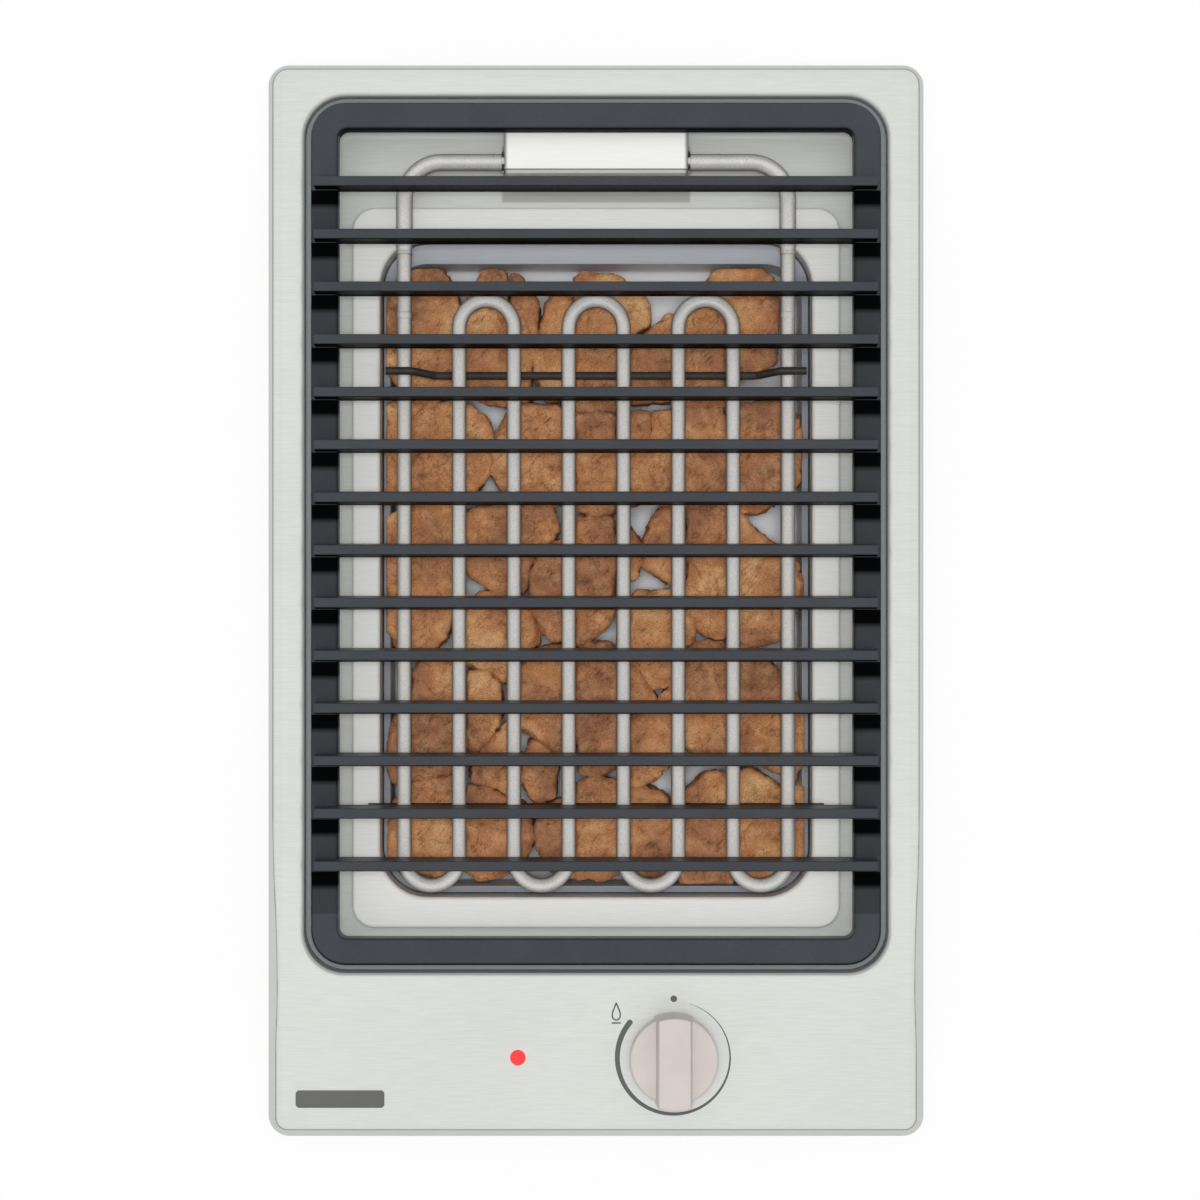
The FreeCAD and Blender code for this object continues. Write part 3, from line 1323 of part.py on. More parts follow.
# Outlines of the lava stones in plan, from the back to the front, as shares of the pan's width and length
STONES = [
    [(-0.506, 0.333), (-0.426, 0.283), (-0.340, 0.298), (-0.333, 0.381), (-0.346, 0.449),
     (-0.379, 0.491), (-0.439, 0.491), (-0.509, 0.446)],
    [(-0.320, 0.405), (-0.309, 0.298), (-0.257, 0.279), (-0.213, 0.281), (-0.215, 0.415),
     (-0.218, 0.481), (-0.254, 0.483), (-0.275, 0.478), (-0.308, 0.439)],
    [(-0.203, 0.285), (-0.162, 0.285), (-0.160, 0.313), (-0.145, 0.397), (-0.144, 0.438),
     (-0.188, 0.478), (-0.206, 0.478), (-0.203, 0.449)],
    [(-0.116, 0.431), (-0.133, 0.390), (-0.149, 0.361), (-0.150, 0.333), (-0.119, 0.286),
     (-0.054, 0.288), (-0.056, 0.407), (-0.065, 0.447), (-0.103, 0.447)],
    [(-0.045, 0.270), (0.075, 0.271), (0.079, 0.382), (0.122, 0.398), (0.127, 0.425), (0.107, 0.446),
     (0.062, 0.470), (-0.026, 0.482), (-0.046, 0.472)],
    [(0.087, 0.284), (0.141, 0.283), (0.203, 0.284), (0.193, 0.407), (0.172, 0.415), (0.131, 0.386),
     (0.088, 0.359)],
    [(0.216, 0.278), (0.309, 0.278), (0.307, 0.397), (0.294, 0.424), (0.258, 0.429), (0.217, 0.414)],
    [(0.319, 0.436), (0.322, 0.313), (0.394, 0.330), (0.435, 0.351), (0.435, 0.443), (0.430, 0.472),
     (0.389, 0.489), (0.307, 0.488), (0.278, 0.470)],
    [(-0.515, 0.206), (-0.516, 0.134), (-0.435, 0.113), (-0.363, 0.112), (-0.306, 0.134),
     (-0.259, 0.168), (-0.260, 0.220), (-0.265, 0.248), (-0.312, 0.266), (-0.353, 0.272),
     (-0.440, 0.274), (-0.500, 0.273), (-0.505, 0.254)],
    [(-0.248, 0.168), (-0.218, 0.132), (-0.125, 0.115), (-0.061, 0.123), (-0.069, 0.250),
     (-0.094, 0.267), (-0.172, 0.267), (-0.208, 0.257), (-0.244, 0.218)],
    [(-0.049, 0.205), (-0.045, 0.110), (0.003, 0.099), (0.042, 0.106), (0.046, 0.195), (0.040, 0.256),
     (-0.017, 0.258), (-0.048, 0.256)],
    [(0.060, 0.127), (0.088, 0.117), (0.134, 0.134), (0.132, 0.205), (0.125, 0.256), (0.083, 0.255),
     (0.061, 0.246)],
    [(0.143, 0.137), (0.169, 0.113), (0.277, 0.108), (0.314, 0.113), (0.318, 0.205), (0.303, 0.264),
     (0.216, 0.265), (0.179, 0.258), (0.142, 0.257)],
    [(0.330, 0.137), (0.349, 0.102), (0.396, 0.108), (0.447, 0.127), (0.488, 0.151), (0.495, 0.192),
     (0.491, 0.246), (0.478, 0.253), (0.437, 0.272), (0.349, 0.270), (0.331, 0.264)],
    [(-0.513, -0.012), (-0.503, -0.084), (-0.483, -0.113), (-0.431, -0.117), (-0.405, -0.118),
     (-0.369, -0.098), (-0.357, -0.066), (-0.339, -0.029), (-0.333, 0.057), (-0.353, 0.100),
     (-0.441, 0.103), (-0.486, 0.091), (-0.511, 0.077)],
    [(-0.315, 0.024), (-0.297, 0.005), (-0.240, -0.024), (-0.176, -0.019), (-0.159, 0.031),
     (-0.106, 0.057), (-0.101, 0.075), (-0.121, 0.107), (-0.281, 0.106), (-0.318, 0.092)],
    [(-0.147, 0.022), (-0.154, -0.013), (-0.152, -0.056), (-0.134, -0.087), (-0.098, -0.104),
     (-0.068, -0.098), (-0.059, -0.046), (-0.060, 0.048), (-0.096, 0.049)],
    [(-0.045, -0.102), (-0.029, -0.108), (0.020, -0.083), (0.040, -0.052), (0.043, 0.022),
     (0.038, 0.088), (0.007, 0.090), (-0.045, 0.084)],
    [(0.058, -0.003), (0.083, -0.006), (0.095, -0.001), (0.107, 0.024), (0.106, 0.046), (0.083, 0.074),
     (0.053, 0.074)],
    [(0.117, 0.024), (0.127, 0.014), (0.175, -0.010), (0.208, -0.006), (0.211, 0.058), (0.208, 0.104),
     (0.163, 0.103), (0.137, 0.088), (0.119, 0.054)],
    [(0.222, -0.059), (0.238, -0.073), (0.268, -0.089), (0.299, -0.097), (0.320, -0.090), (0.324, 0.022),
     (0.320, 0.091), (0.299, 0.100), (0.222, 0.102)],
    [(0.332, -0.080), (0.349, -0.101), (0.385, -0.107), (0.437, -0.102), (0.472, -0.066),
     (0.497, -0.036), (0.498, -0.016), (0.478, 0.022), (0.421, 0.049), (0.353, 0.091), (0.334, 0.088)],
    [(-0.336, -0.130), (-0.308, -0.140), (-0.234, -0.164), (-0.221, -0.171), (-0.185, -0.128),
     (-0.146, -0.111), (-0.154, -0.079), (-0.189, -0.034), (-0.282, -0.033), (-0.308, -0.048),
     (-0.336, -0.116)],
    [(-0.446, -0.188), (-0.484, -0.229), (-0.495, -0.249), (-0.499, -0.290), (-0.486, -0.325),
     (-0.436, -0.321), (-0.395, -0.317), (-0.343, -0.309), (-0.320, -0.283), (-0.321, -0.222),
     (-0.333, -0.160), (-0.350, -0.136), (-0.379, -0.129), (-0.423, -0.143), (-0.441, -0.161)],
    [(-0.308, -0.279), (-0.298, -0.284), (-0.262, -0.260), (-0.236, -0.234), (-0.234, -0.202),
     (-0.240, -0.174), (-0.267, -0.159), (-0.308, -0.160)],
    [(-0.202, -0.234), (-0.151, -0.255), (-0.088, -0.283), (-0.057, -0.276), (-0.055, -0.132),
     (-0.078, -0.119), (-0.130, -0.123), (-0.176, -0.145), (-0.204, -0.173)],
    [(-0.044, -0.255), (-0.032, -0.309), (0.015, -0.317), (0.073, -0.290), (0.078, -0.218),
     (0.138, -0.202), (0.120, -0.180), (0.087, -0.150), (0.030, -0.115), (-0.016, -0.117),
     (-0.042, -0.132)],
    [(0.077, -0.082), (0.067, -0.123), (0.098, -0.145), (0.136, -0.181), (0.177, -0.171),
     (0.207, -0.119), (0.234, -0.106), (0.236, -0.079), (0.211, -0.048), (0.177, -0.030),
     (0.105, -0.031), (0.087, -0.048)],
    [(0.085, -0.291), (0.085, -0.335), (0.105, -0.337), (0.157, -0.317), (0.191, -0.284),
     (0.198, -0.202), (0.180, -0.181), (0.147, -0.211), (0.087, -0.230)],
    [(0.216, -0.220), (0.222, -0.272), (0.278, -0.286), (0.331, -0.283), (0.334, -0.200),
     (0.325, -0.125), (0.299, -0.115), (0.248, -0.116), (0.220, -0.125)],
    [(0.348, -0.201), (0.349, -0.283), (0.375, -0.292), (0.432, -0.307), (0.484, -0.311),
     (0.501, -0.283), (0.505, -0.228), (0.487, -0.201), (0.457, -0.174), (0.426, -0.146),
     (0.388, -0.122), (0.354, -0.119), (0.344, -0.132)],
    [(-0.503, -0.403), (-0.496, -0.458), (-0.467, -0.472), (-0.374, -0.479), (-0.322, -0.465),
     (-0.323, -0.363), (-0.348, -0.329), (-0.400, -0.330), (-0.441, -0.337), (-0.480, -0.358)],
    [(-0.301, -0.329), (-0.256, -0.337), (-0.216, -0.351), (-0.184, -0.325), (-0.187, -0.292),
     (-0.205, -0.255), (-0.218, -0.241), (-0.253, -0.269), (-0.283, -0.292), (-0.301, -0.312)],
    [(-0.313, -0.397), (-0.313, -0.465), (-0.287, -0.488), (-0.226, -0.480), (-0.179, -0.455),
     (-0.159, -0.427), (-0.156, -0.400), (-0.182, -0.373), (-0.218, -0.362), (-0.261, -0.346),
     (-0.311, -0.345)],
    [(-0.171, -0.342), (-0.150, -0.361), (-0.100, -0.353), (-0.103, -0.326), (-0.096, -0.310),
     (-0.100, -0.288), (-0.151, -0.266), (-0.174, -0.290)],
    [(-0.146, -0.428), (-0.129, -0.460), (-0.073, -0.482), (-0.055, -0.479), (-0.056, -0.398),
     (-0.068, -0.362), (-0.119, -0.372), (-0.144, -0.401)],
    [(-0.043, -0.479), (0.014, -0.484), (0.071, -0.465), (0.071, -0.349), (0.043, -0.334),
     (-0.016, -0.332), (-0.045, -0.342)],
    [(0.084, -0.475), (0.157, -0.478), (0.199, -0.465), (0.198, -0.390), (0.174, -0.365),
     (0.157, -0.355), (0.121, -0.346), (0.085, -0.347)],
    [(0.210, -0.413), (0.211, -0.489), (0.257, -0.496), (0.328, -0.489), (0.330, -0.396),
     (0.325, -0.328), (0.294, -0.318), (0.258, -0.325), (0.243, -0.339), (0.217, -0.353)],
    [(0.343, -0.362), (0.344, -0.465), (0.354, -0.486), (0.473, -0.479), (0.489, -0.454),
     (0.503, -0.413), (0.505, -0.379), (0.504, -0.349), (0.488, -0.342), (0.457, -0.346),
     (0.417, -0.330), (0.380, -0.318), (0.349, -0.324)],
]


def kept_inside(x, y, half_width, half_length, corner):
    """Return a place in plan, moved into a rounded rectangle round the pan's middle."""
    x = min(max(x, -half_width), half_width)
    y = min(max(y, -half_length), half_length)
    beyond_x = abs(x) - (half_width - corner)
    beyond_y = abs(y) - (half_length - corner)
    if beyond_x > 0 and beyond_y > 0 and math.hypot(beyond_x, beyond_y) > corner:
        share = corner / math.hypot(beyond_x, beyond_y)
        x = math.copysign(half_width - corner + beyond_x * share, x)
        y = math.copysign(half_length - corner + beyond_y * share, y)
    return x, y


def lava_stone(outline, chance):
    """Return a rough stone over an outline, from the stone tray's floor to just under the rods.

    Its foot is drawn in, its sides bulge, and only above the tray's rim may it reach past the pan.
    """
    gap = number("seat_gap")
    foot = number("stone_z") + number("stone_sheet") + gap
    rim = number("stone_rim_z") + gap
    top = number("stone_top") + chance.uniform(-1, 1) * number("stone_top_spread")
    half_width, half_length = number("stone_width") / 2 - gap, number("stone_length") / 2 - gap
    corner = number("stone_corner") - gap
    round_foot = number("stone_round")
    wide = number("bowl_width") / 2 - 2 * number("stone_gap") - number("stone_width") / 2
    shift = number("stone_shift")
    middle_x = sum(x for x, y in outline) / len(outline) * number("stone_width")
    middle_y = sum(y for x, y in outline) / len(outline) * number("stone_length")
    rings = []
    for share, least, most, inset in STONE_LEVELS:
        z = foot + share * (rim - foot) if share <= 1 else rim + (share - 1) * (top - rim)
        room = -inset * round_foot if inset > 0 else -inset * wide
        ring = []
        for x, y in outline:
            scale = chance.uniform(least, most)
            place = kept_inside(
                middle_x + (x * number("stone_width") - middle_x) * scale,
                middle_y + (y * number("stone_length") - middle_y) * scale,
                half_width + room, half_length + min(room, 0.0), corner,
            )
            ring.append(Vector(place[0], place[1] + shift, z))
        rings.append(ring)
    triangles = []
    count = len(outline)
    for lower, upper in zip(rings, rings[1:]):
        for index in range(count):
            after = (index + 1) % count
            triangles.append((lower[index], lower[after], upper[after]))
            triangles.append((lower[index], upper[after], upper[index]))
    summit = Vector(middle_x, middle_y + shift, top)
    sole = Vector(middle_x, middle_y + shift, foot)
    for index in range(count):
        after = (index + 1) % count
        triangles.append((rings[-1][index], rings[-1][after], summit))
        triangles.append((rings[0][after], rings[0][index], sole))
    faces = [Part.Face(Part.makePolygon([*corners, corners[0]])) for corners in triangles]
    return Part.makeSolid(Part.makeShell(faces))


def make_stones():
    """Lay the stones in the pan, row by row."""
    chance = random.Random(STONE_SEED)
    rows = {}
    for outline in STONES:
        middle = sum(y for x, y in outline) / len(outline)
        row = min(STONE_ROWS - 1, int((0.5 - middle) * STONE_ROWS))
        rows.setdefault(row, []).append(lava_stone(outline, chance))
    for row in sorted(rows):
        new_piece(f"lava_stones_row_{row + 1}", Part.makeCompound(rows[row]))


# Housing under the worktop


def make_housing():
    """Make the housing: four wall panels trimmed under the plate, on a floor, with vents and holes."""
    body = new_body("housing_form")
    plan = new_sketch(body, "housing_plan", "XY_Plane", "housing_z")
    rounded_plan(plan, "housing_width", "housing_length", "housing_corner")
    pad(body, "housing_form", plan, "trim_height")
    plan = new_sketch(body, "housing_inner_plan", "XY_Plane", "flange_top")
    rounded_plan(plan, "housing_inner_width", "housing_inner_length", "housing_inner_corner")
    pocket(body, "housing_hollow", plan, "trim_height", reverse=True)
    plan = new_sketch(body, "bottom_hole_plan", "XY_Plane", "flange_top")
    rounded_plan(plan, "hole_width", "hole_length", "housing_corner", "hole_shift")
    pocket(body, "bottom_hole", plan, "2 * housing_sheet")
    cut_above_wave(body, "housing_edge", "underside_drop")

    side = new_sketch(body, "vent_profile", "YZ_Plane")
    slot(side, "0 - vent_pitch * (vent_count - 1) / 2", "vent_line", "vent_length", "vent_height")
    vent = pocket(body, "vent", side)
    row = body.newObject("PartDesign::LinearPattern", "vents")
    row.Originals = [vent]
    row.Direction = (side, ["H_Axis"])
    bind(row, Occurrences="vent_count", Length="vent_pitch * (vent_count - 1)")
    body.Tip = row

    side = new_sketch(body, "side_holes", "YZ_Plane")
    for offset in ("0 - bracket_reach", "0", "bracket_reach"):
        circle(side, "screw_radius + hole_gap", f"well_shift + ({offset})", "bracket_screw_z")
    for offset in ("0 - clamp_reach", "clamp_reach"):
        for rise in ("clamp_low", "clamp_low + clamp_fixing_rise"):
            circle(side, "screw_radius + hole_gap", offset, f"{rise} + clamp_first_fixing")
    pocket(body, "wall_holes", side)
    side = new_sketch(body, "entry_profile", "YZ_Plane")
    circle(side, "bush_neck_radius + hole_gap", "entry_y", "entry_height")
    pocket(body, "entry_hole", side, "housing_width", reverse=True)
    plan = new_sketch(body, "base_screw_plan", "XY_Plane", "flange_top")
    for x, y in base_screw_places():
        circle(plan, "screw_radius + hole_gap", x, y)
    circle(plan, "stud_radius + hole_gap", "stud_side", "entry_y")
    for x in block_screw_places():
        circle(plan, "block_screw_radius + hole_gap", x, "entry_y")
    for offset in ("0 - saddle_screw_span / 2", "saddle_screw_span / 2"):
        circle(plan, "block_screw_radius + hole_gap", "saddle_side", f"entry_y + ({offset})")
    pocket(body, "floor_screw_holes", plan, "2 * housing_sheet")

    walls = "flange_top", "trim_height"
    rooms = {
        "housing_floor": block(
            "floor_room", "plate_width", "plate_length", "housing_sheet", "0", "0", "housing_z"
        )
    }
    for name, sign in (("left", "0 - "), ("right", "")):
        x = f"{sign}(housing_width - housing_corner) / 2"
        room = block(f"housing_{name}_room", "housing_corner", "housing_length", walls[1], x, "0", walls[0])
        rooms[f"housing_{name}"] = room
    for name, sign in (("front", "0 - "), ("back", "")):
        y = f"{sign}(housing_length - housing_corner) / 2"
        width = "housing_width - 2 * housing_corner"
        room = block(f"housing_{name}_room", width, "housing_corner", walls[1], "0", y, walls[0])
        rooms[f"housing_{name}"] = room
    panels = []
    for name, room in rooms.items():
        panel = document.addObject("Part::Common", name)
        panel.Base = body
        panel.Tool = room
        panels.append(panel)
    grouped("housing", *panels)


def slot(sketch, x, y, length, height):
    """Draw a slot with round ends, whose middle is at x and y."""
    radius = number("vent_height") / 2
    reach = number("vent_length") / 2 - radius
    arcs = ((1.0, -math.pi / 2, math.pi / 2), (-1.0, math.pi / 2, 3 * math.pi / 2))
    for side, start, end in arcs:
        ring = Part.Circle(Vector(side * reach, 0, 0), Vector(0, 0, 1), radius)
        sketch.addGeometry(Part.ArcOfCircle(ring, start, end), False)
    for side in (1, -1):
        start, end = Vector(side * reach, side * radius, 0), Vector(-side * reach, side * radius, 0)
        sketch.addGeometry(Part.LineSegment(start, end), False)
    join = sketch.addConstraint
    join(Sketcher.Constraint("Tangent", 0, 2, 2, 1))
    join(Sketcher.Constraint("Tangent", 2, 2, 1, 1))
    join(Sketcher.Constraint("Tangent", 1, 2, 3, 1))
    join(Sketcher.Constraint("Tangent", 3, 2, 0, 1))
    join(Sketcher.Constraint("Equal", 0, 1))
    join(Sketcher.Constraint("Horizontal", 2))
    datum(sketch, "Radius", 0, to=f"{height} / 2")
    datum(sketch, "DistanceX", 1, 3, 0, 3, to=f"{length} - {height}")
    datum(sketch, "DistanceX", -1, 1, 1, 3, to=f"{x} - ({length} - {height}) / 2")
    datum(sketch, "DistanceY", -1, 1, 1, 3, to=y)


def base_screw_places():
    """Return the places of the base cover's screws."""
    across = "(housing_width / 2 - base_screw_inset)"
    along = "(housing_length / 2 - base_screw_inset)"
    places = [(x, y) for x in ("0 - " + across, across) for y in ("0 - " + along, "0", along)]
    return places + [("0", "0 - " + along), ("0", along)]


def block_screw_places():
    """Return the places across of the terminal block's two fixing screws."""
    return ["block_side - pole_pitch / 2", "block_side + pole_pitch / 2"]


def make_base():
    """Make the base cover, with countersunk holes, and the screws that hold it."""
    body = new_body("base_cover_form")
    plan = new_sketch(body, "base_plan", "XY_Plane")
    rounded_plan(plan, "base_width", "base_length", "base_corner")
    pad(body, "base_form", plan, "base_sheet")
    plan = new_sketch(body, "base_stud_plan", "XY_Plane", "base_sheet")
    circle(plan, "lug_radius", "stud_side", "entry_y")
    pocket(body, "stud_window", plan, "2 * base_sheet")
    sinks, screws = [], []
    for index, (x, y) in enumerate(base_screw_places(), start=1):
        sinks.append(
            cone(
                f"sink_{index}", "screw_head_radius + hole_gap", "screw_radius + hole_gap",
                "base_sheet", x, y,
            )
        )
        head = cone(f"base_screw_head_{index}", "screw_head_radius", "screw_radius", "base_sheet", x, y)
        shank = rod(f"base_screw_shank_{index}", "screw_radius", "base_screw_length", x, y)
        screws.append(joined(f"base_screw_{index}", head, shank))
    without("base_cover", body, *sinks)
    grouped("base_screws", *screws)


def make_seal():
    """Make the foam ring between the plate and the worktop."""
    body = new_body("worktop_seal")
    plan = new_sketch(body, "seal_plan", "XY_Plane", "worktop_height")
    rounded_plan(plan, "seal_outer_width", "seal_outer_length", "seal_outer_corner")
    rounded_plan(plan, "seal_inner_width", "seal_inner_length", "seal_inner_corner")
    pad(body, "seal_form", plan, "form_height")
    cut_above_wave(body, "seal_top", "underside_drop")


def make_side_brackets():
    """Make the six angles under the well's ledge, and the screws through the housing's walls."""
    brackets, screws = [], []
    places = [
        (side, offset) for side in ("left", "right") for offset in (
            "0 - bracket_reach", "0", "bracket_reach"
        )
    ]
    for index, (side, offset) in enumerate(places, start=1):
        sign = "0 - " if side == "left" else ""
        y = f"well_shift + ({offset})"
        foot_width = "(bracket_outer - bracket_inner)"
        leg = block(
            f"bracket_leg_{index}", "bracket_sheet", "bracket_length", "bracket_drop",
            f"{sign}(bracket_outer - bracket_sheet / 2)", y, "ledge_z - plate_sheet - bracket_drop",
        )
        foot = block(
            f"bracket_foot_{index}", foot_width, "bracket_length", "bracket_sheet",
            f"{sign}(bracket_outer + bracket_inner) / 2", y, "ledge_z - plate_sheet - bracket_sheet",
        )
        hole = rod(
            f"bracket_hole_{index}", "screw_radius + running_gap", "3 * bracket_sheet",
            f"{sign}(bracket_outer - bracket_sheet / 2) - 1.5 * bracket_sheet", y, "bracket_screw_z", "X",
        )
        brackets.append(without(f"bracket_{index}", joined(f"bracket_form_{index}", leg, foot), hole))
        wall = "0 - housing_width / 2" if side == "left" else "housing_width / 2"
        axis = "-X" if side == "left" else "X"
        screws.append(
            pan_screw(f"side_screw_{index}", wall, y, "bracket_screw_z", "side_screw_length", axis)
        )
    grouped("side_brackets", *brackets)
    grouped("side_screws", *screws)


def make_clamps():
    """Make the four clamps that pull the plate down on the worktop, with their screws."""
    clamps, fixings, screws = [], [], []
    places = [(side, offset) for side in ("left", "right") for offset in ("0 - clamp_reach", "clamp_reach")]
    for index, (side, y) in enumerate(places, start=1):
        sign = "0 - " if side == "left" else ""
        axis = "-X" if side == "left" else "X"
        plate = block(
            f"clamp_plate_{index}", "clamp_sheet", "clamp_width", "clamp_high - clamp_low",
            f"{sign}(housing_width / 2 + clamp_sheet / 2)", y, "clamp_low",
        )
        foot = block(
            f"clamp_foot_form_{index}", "clamp_foot", "clamp_width", "clamp_sheet",
            f"{sign}(housing_width / 2 + clamp_foot / 2)", y, "clamp_low",
        )
        tools = [
            rod(
                f"clamp_thread_{index}", "clamp_screw_radius + running_gap", "3 * clamp_sheet",
                f"{sign}clamp_screw_x", y, "clamp_low - clamp_sheet",
            )
        ]
        for step, rise in enumerate(("clamp_low", "clamp_low + clamp_fixing_rise"), start=1):
            z = f"{rise} + clamp_first_fixing"
            tools.append(
                rod(
                    f"clamp_hole_{index}_{step}", "screw_radius + hole_gap", "3 * clamp_sheet",
                    f"{sign}(housing_width / 2 + clamp_sheet / 2) - 1.5 * clamp_sheet", y, z, "X",
                )
            )
            wall = f"{sign}(housing_width / 2 + clamp_sheet)"
            fixings.append(pan_screw(f"clamp_fixing_{index}_{step}", wall, y, z, "side_screw_length", axis))
        clamps.append(without(f"clamp_{index}", joined(f"clamp_form_{index}", plate, foot), *tools))
        shank = rod(
            f"clamp_screw_shank_{index}", "clamp_screw_radius",
            "worktop_height - worktop_thickness - clamp_low + clamp_screw_drop",
            f"{sign}clamp_screw_x", y, "clamp_low - clamp_screw_drop",
        )
        head = hexagon(
            f"clamp_screw_head_{index}", "clamp_screw_across", "clamp_screw_head",
            f"{sign}clamp_screw_x", y, "clamp_low - clamp_screw_drop - clamp_screw_head",
        )
        screws.append(joined(f"clamp_screw_{index}", shank, head))
    grouped("worktop_clamps", *clamps)
    grouped("clamp_fixings", *fixings)
    grouped("clamp_screws", *screws)


# Control compartment: partition, bracket, regulator, lamp and knob


def make_partition():
    """Make the sheet that keeps the heat from the controls, and the grommet in its duct."""
    height = "panel_top - underside_drop - flange_top"
    wall = block(
        "partition_wall", "housing_inner_width - 2 * seat_gap", "partition_sheet", height, "0",
        "partition_y", "flange_top",
    )
    foot = block(
        "partition_foot", "hole_width", "partition_flange", "partition_sheet",
        "0", "partition_y + partition_flange / 2 - partition_sheet / 2", "flange_top",
    )
    duct = rod(
        "duct_hole", "duct_radius", "4 * partition_sheet", "0", "partition_y - 2 * partition_sheet",
        "wire_level", "Y",
    )
    without("heat_partition", joined("partition_form", wall, foot), duct)
    collars = []
    for name, y in (
        ("duct_grommet_front", "partition_y - partition_sheet / 2 - duct_grommet"),
        ("duct_grommet_back", "partition_y + partition_sheet / 2"),
    ):
        collars.append(
            rod(name, "duct_radius + duct_grommet / 4", "duct_grommet", "0", y, "wire_level", "Y")
        )
    neck = rod(
        "duct_grommet_neck", "duct_radius - running_gap", "partition_sheet",
        "0", "partition_y - partition_sheet / 2", "wire_level", "Y",
    )
    bore = rod(
        "duct_grommet_bore", "duct_radius - duct_grommet", "4 * partition_sheet + 2 * duct_grommet",
        "0", "partition_y - 2 * partition_sheet - duct_grommet", "wire_level", "Y",
    )
    without("duct_grommet", joined("duct_grommet_form", *collars, neck), bore)


def make_control_bracket():
    """Fold the bracket that hangs under the panel and carries the regulator and the lamp."""
    low = "control_z - control_sheet"
    rise = "panel_top - plate_sheet - seat_gap - control_z + control_sheet"
    solids = [
        block("bracket_shelf", "control_width", "control_length", "control_sheet", "0", "knob_y", low)
    ]
    for side, (x, y, z) in zip(
        ("left", "right"), halves("(control_width / 2 - control_sheet / 2)", "knob_y", low)
    ):
        solids.append(block(f"bracket_wall_{side}", "control_sheet", "control_length", rise, x, y, z))
    top = "panel_top - plate_sheet - seat_gap - control_sheet"
    across = "(control_width / 2 + control_flange / 2 - control_sheet)"
    for side, (x, y, z) in zip(("left", "right"), halves(across, "knob_y", top)):
        solids.append(
            block(f"bracket_flange_{side}", "control_flange", "control_length", "control_sheet", x, y, z)
        )
    tools = [
        rod(
            "boss_hole", "regulator_boss + hole_gap", "3 * control_sheet", "knob_x", "knob_y",
            "control_z - 2 * control_sheet",
        )
    ]
    for side, offset in (("left", "0 - "), ("right", "")):
        tools.append(
            rod(
                f"regulator_hole_{side}", "screw_radius + hole_gap", "3 * control_sheet",
                f"knob_x + ({offset}regulator_screw_span / 2)", "knob_y", "control_z - 2 * control_sheet",
            )
        )
    tools.append(
        rod(
            "lamp_hole", "lamp_radius + hole_gap", "3 * control_sheet", "lamp_x", "lamp_y",
            "control_z - 2 * control_sheet",
        )
    )
    without("control_bracket", joined("control_bracket_form", *solids), *tools)


def make_regulator():
    """Make the energy regulator, its contact tabs and its screws."""
    case = block(
        "regulator_case", "regulator_width", "regulator_width", "regulator_height", "knob_x",
        "knob_y", "regulator_z",
    )
    boss = rod(
        "regulator_boss_form", "regulator_boss", "regulator_boss_height", "knob_x", "knob_y",
        "control_z - control_sheet",
    )
    tools = [
        rod(
            "regulator_bore", "spindle_radius + running_gap", "spindle_depth",
            "knob_x", "knob_y", "control_z - control_sheet + regulator_boss_height - spindle_depth",
        )
    ]
    screws = []
    for side, offset in (("left", "0 - "), ("right", "")):
        x = f"knob_x + ({offset}regulator_screw_span / 2)"
        tools.append(
            rod(
                f"regulator_thread_{side}", "screw_radius + running_gap", "regulator_screw_length",
                x, "knob_y", "control_z - regulator_screw_length",
            )
        )
        screws.append(
            pan_screw(f"regulator_screw_{side}", x, "knob_y", "control_z", "regulator_screw_length")
        )
    without("energy_regulator", joined("regulator_form", case, boss), *tools)
    grouped("regulator_screws", *screws)
    tabs = []
    for row, y in (("back", "knob_y + tab_row"), ("front", "knob_y - tab_row")):
        for column, x in (
            ("left", "knob_x - tab_pitch"), ("middle", "knob_x"), ("right", "knob_x + tab_pitch")
        ):
            tabs.append(block(f"tab_{row}_{column}", "tab_width", "tab_sheet", "tab_length", x, y, "tab_z"))
    grouped("regulator_tabs", *tabs)


def make_lamp():
    """Make the lamp's lens, its holder in the bracket and its two contact tabs."""
    body = rod(
        "lens_body", "lens_radius", "lamp_seat - seat_gap + lens_stand", "lamp_x", "lamp_y",
        "lamp_top - lamp_seat + seat_gap",
    )
    dome = document.addObject("Part::Cone", "lens_dome_form")
    bind(dome, Radius1="lens_radius", Radius2="lens_radius - lens_dome", Height="lens_dome")
    stand(dome, "lamp_x", "lamp_y", "lamp_top + lens_stand")
    joined("lamp_lens", body, dome)
    case = rod("lamp_case", "lamp_radius", "lamp_length", "lamp_x", "lamp_y", "lamp_z")
    collar = rod(
        "lamp_collar_form", "lamp_radius + lamp_collar", "lamp_collar", "lamp_x", "lamp_y", "control_z"
    )
    seat = rod(
        "lamp_seat_form", "lens_radius + running_gap", "lamp_seat", "lamp_x", "lamp_y",
        "lamp_top - lamp_seat",
    )
    without("lamp_holder", joined("lamp_holder_form", case, collar), seat)
    tabs = []
    for side, offset in (("back", "lamp_tab_span / 2"), ("front", "0 - lamp_tab_span / 2")):
        tabs.append(
            block(
                f"lamp_tab_{side}", "tab_width", "tab_sheet", "tab_length", "lamp_x",
                f"lamp_y + ({offset})", "lamp_z - tab_length",
            )
        )
    grouped("lamp_tabs", *tabs)


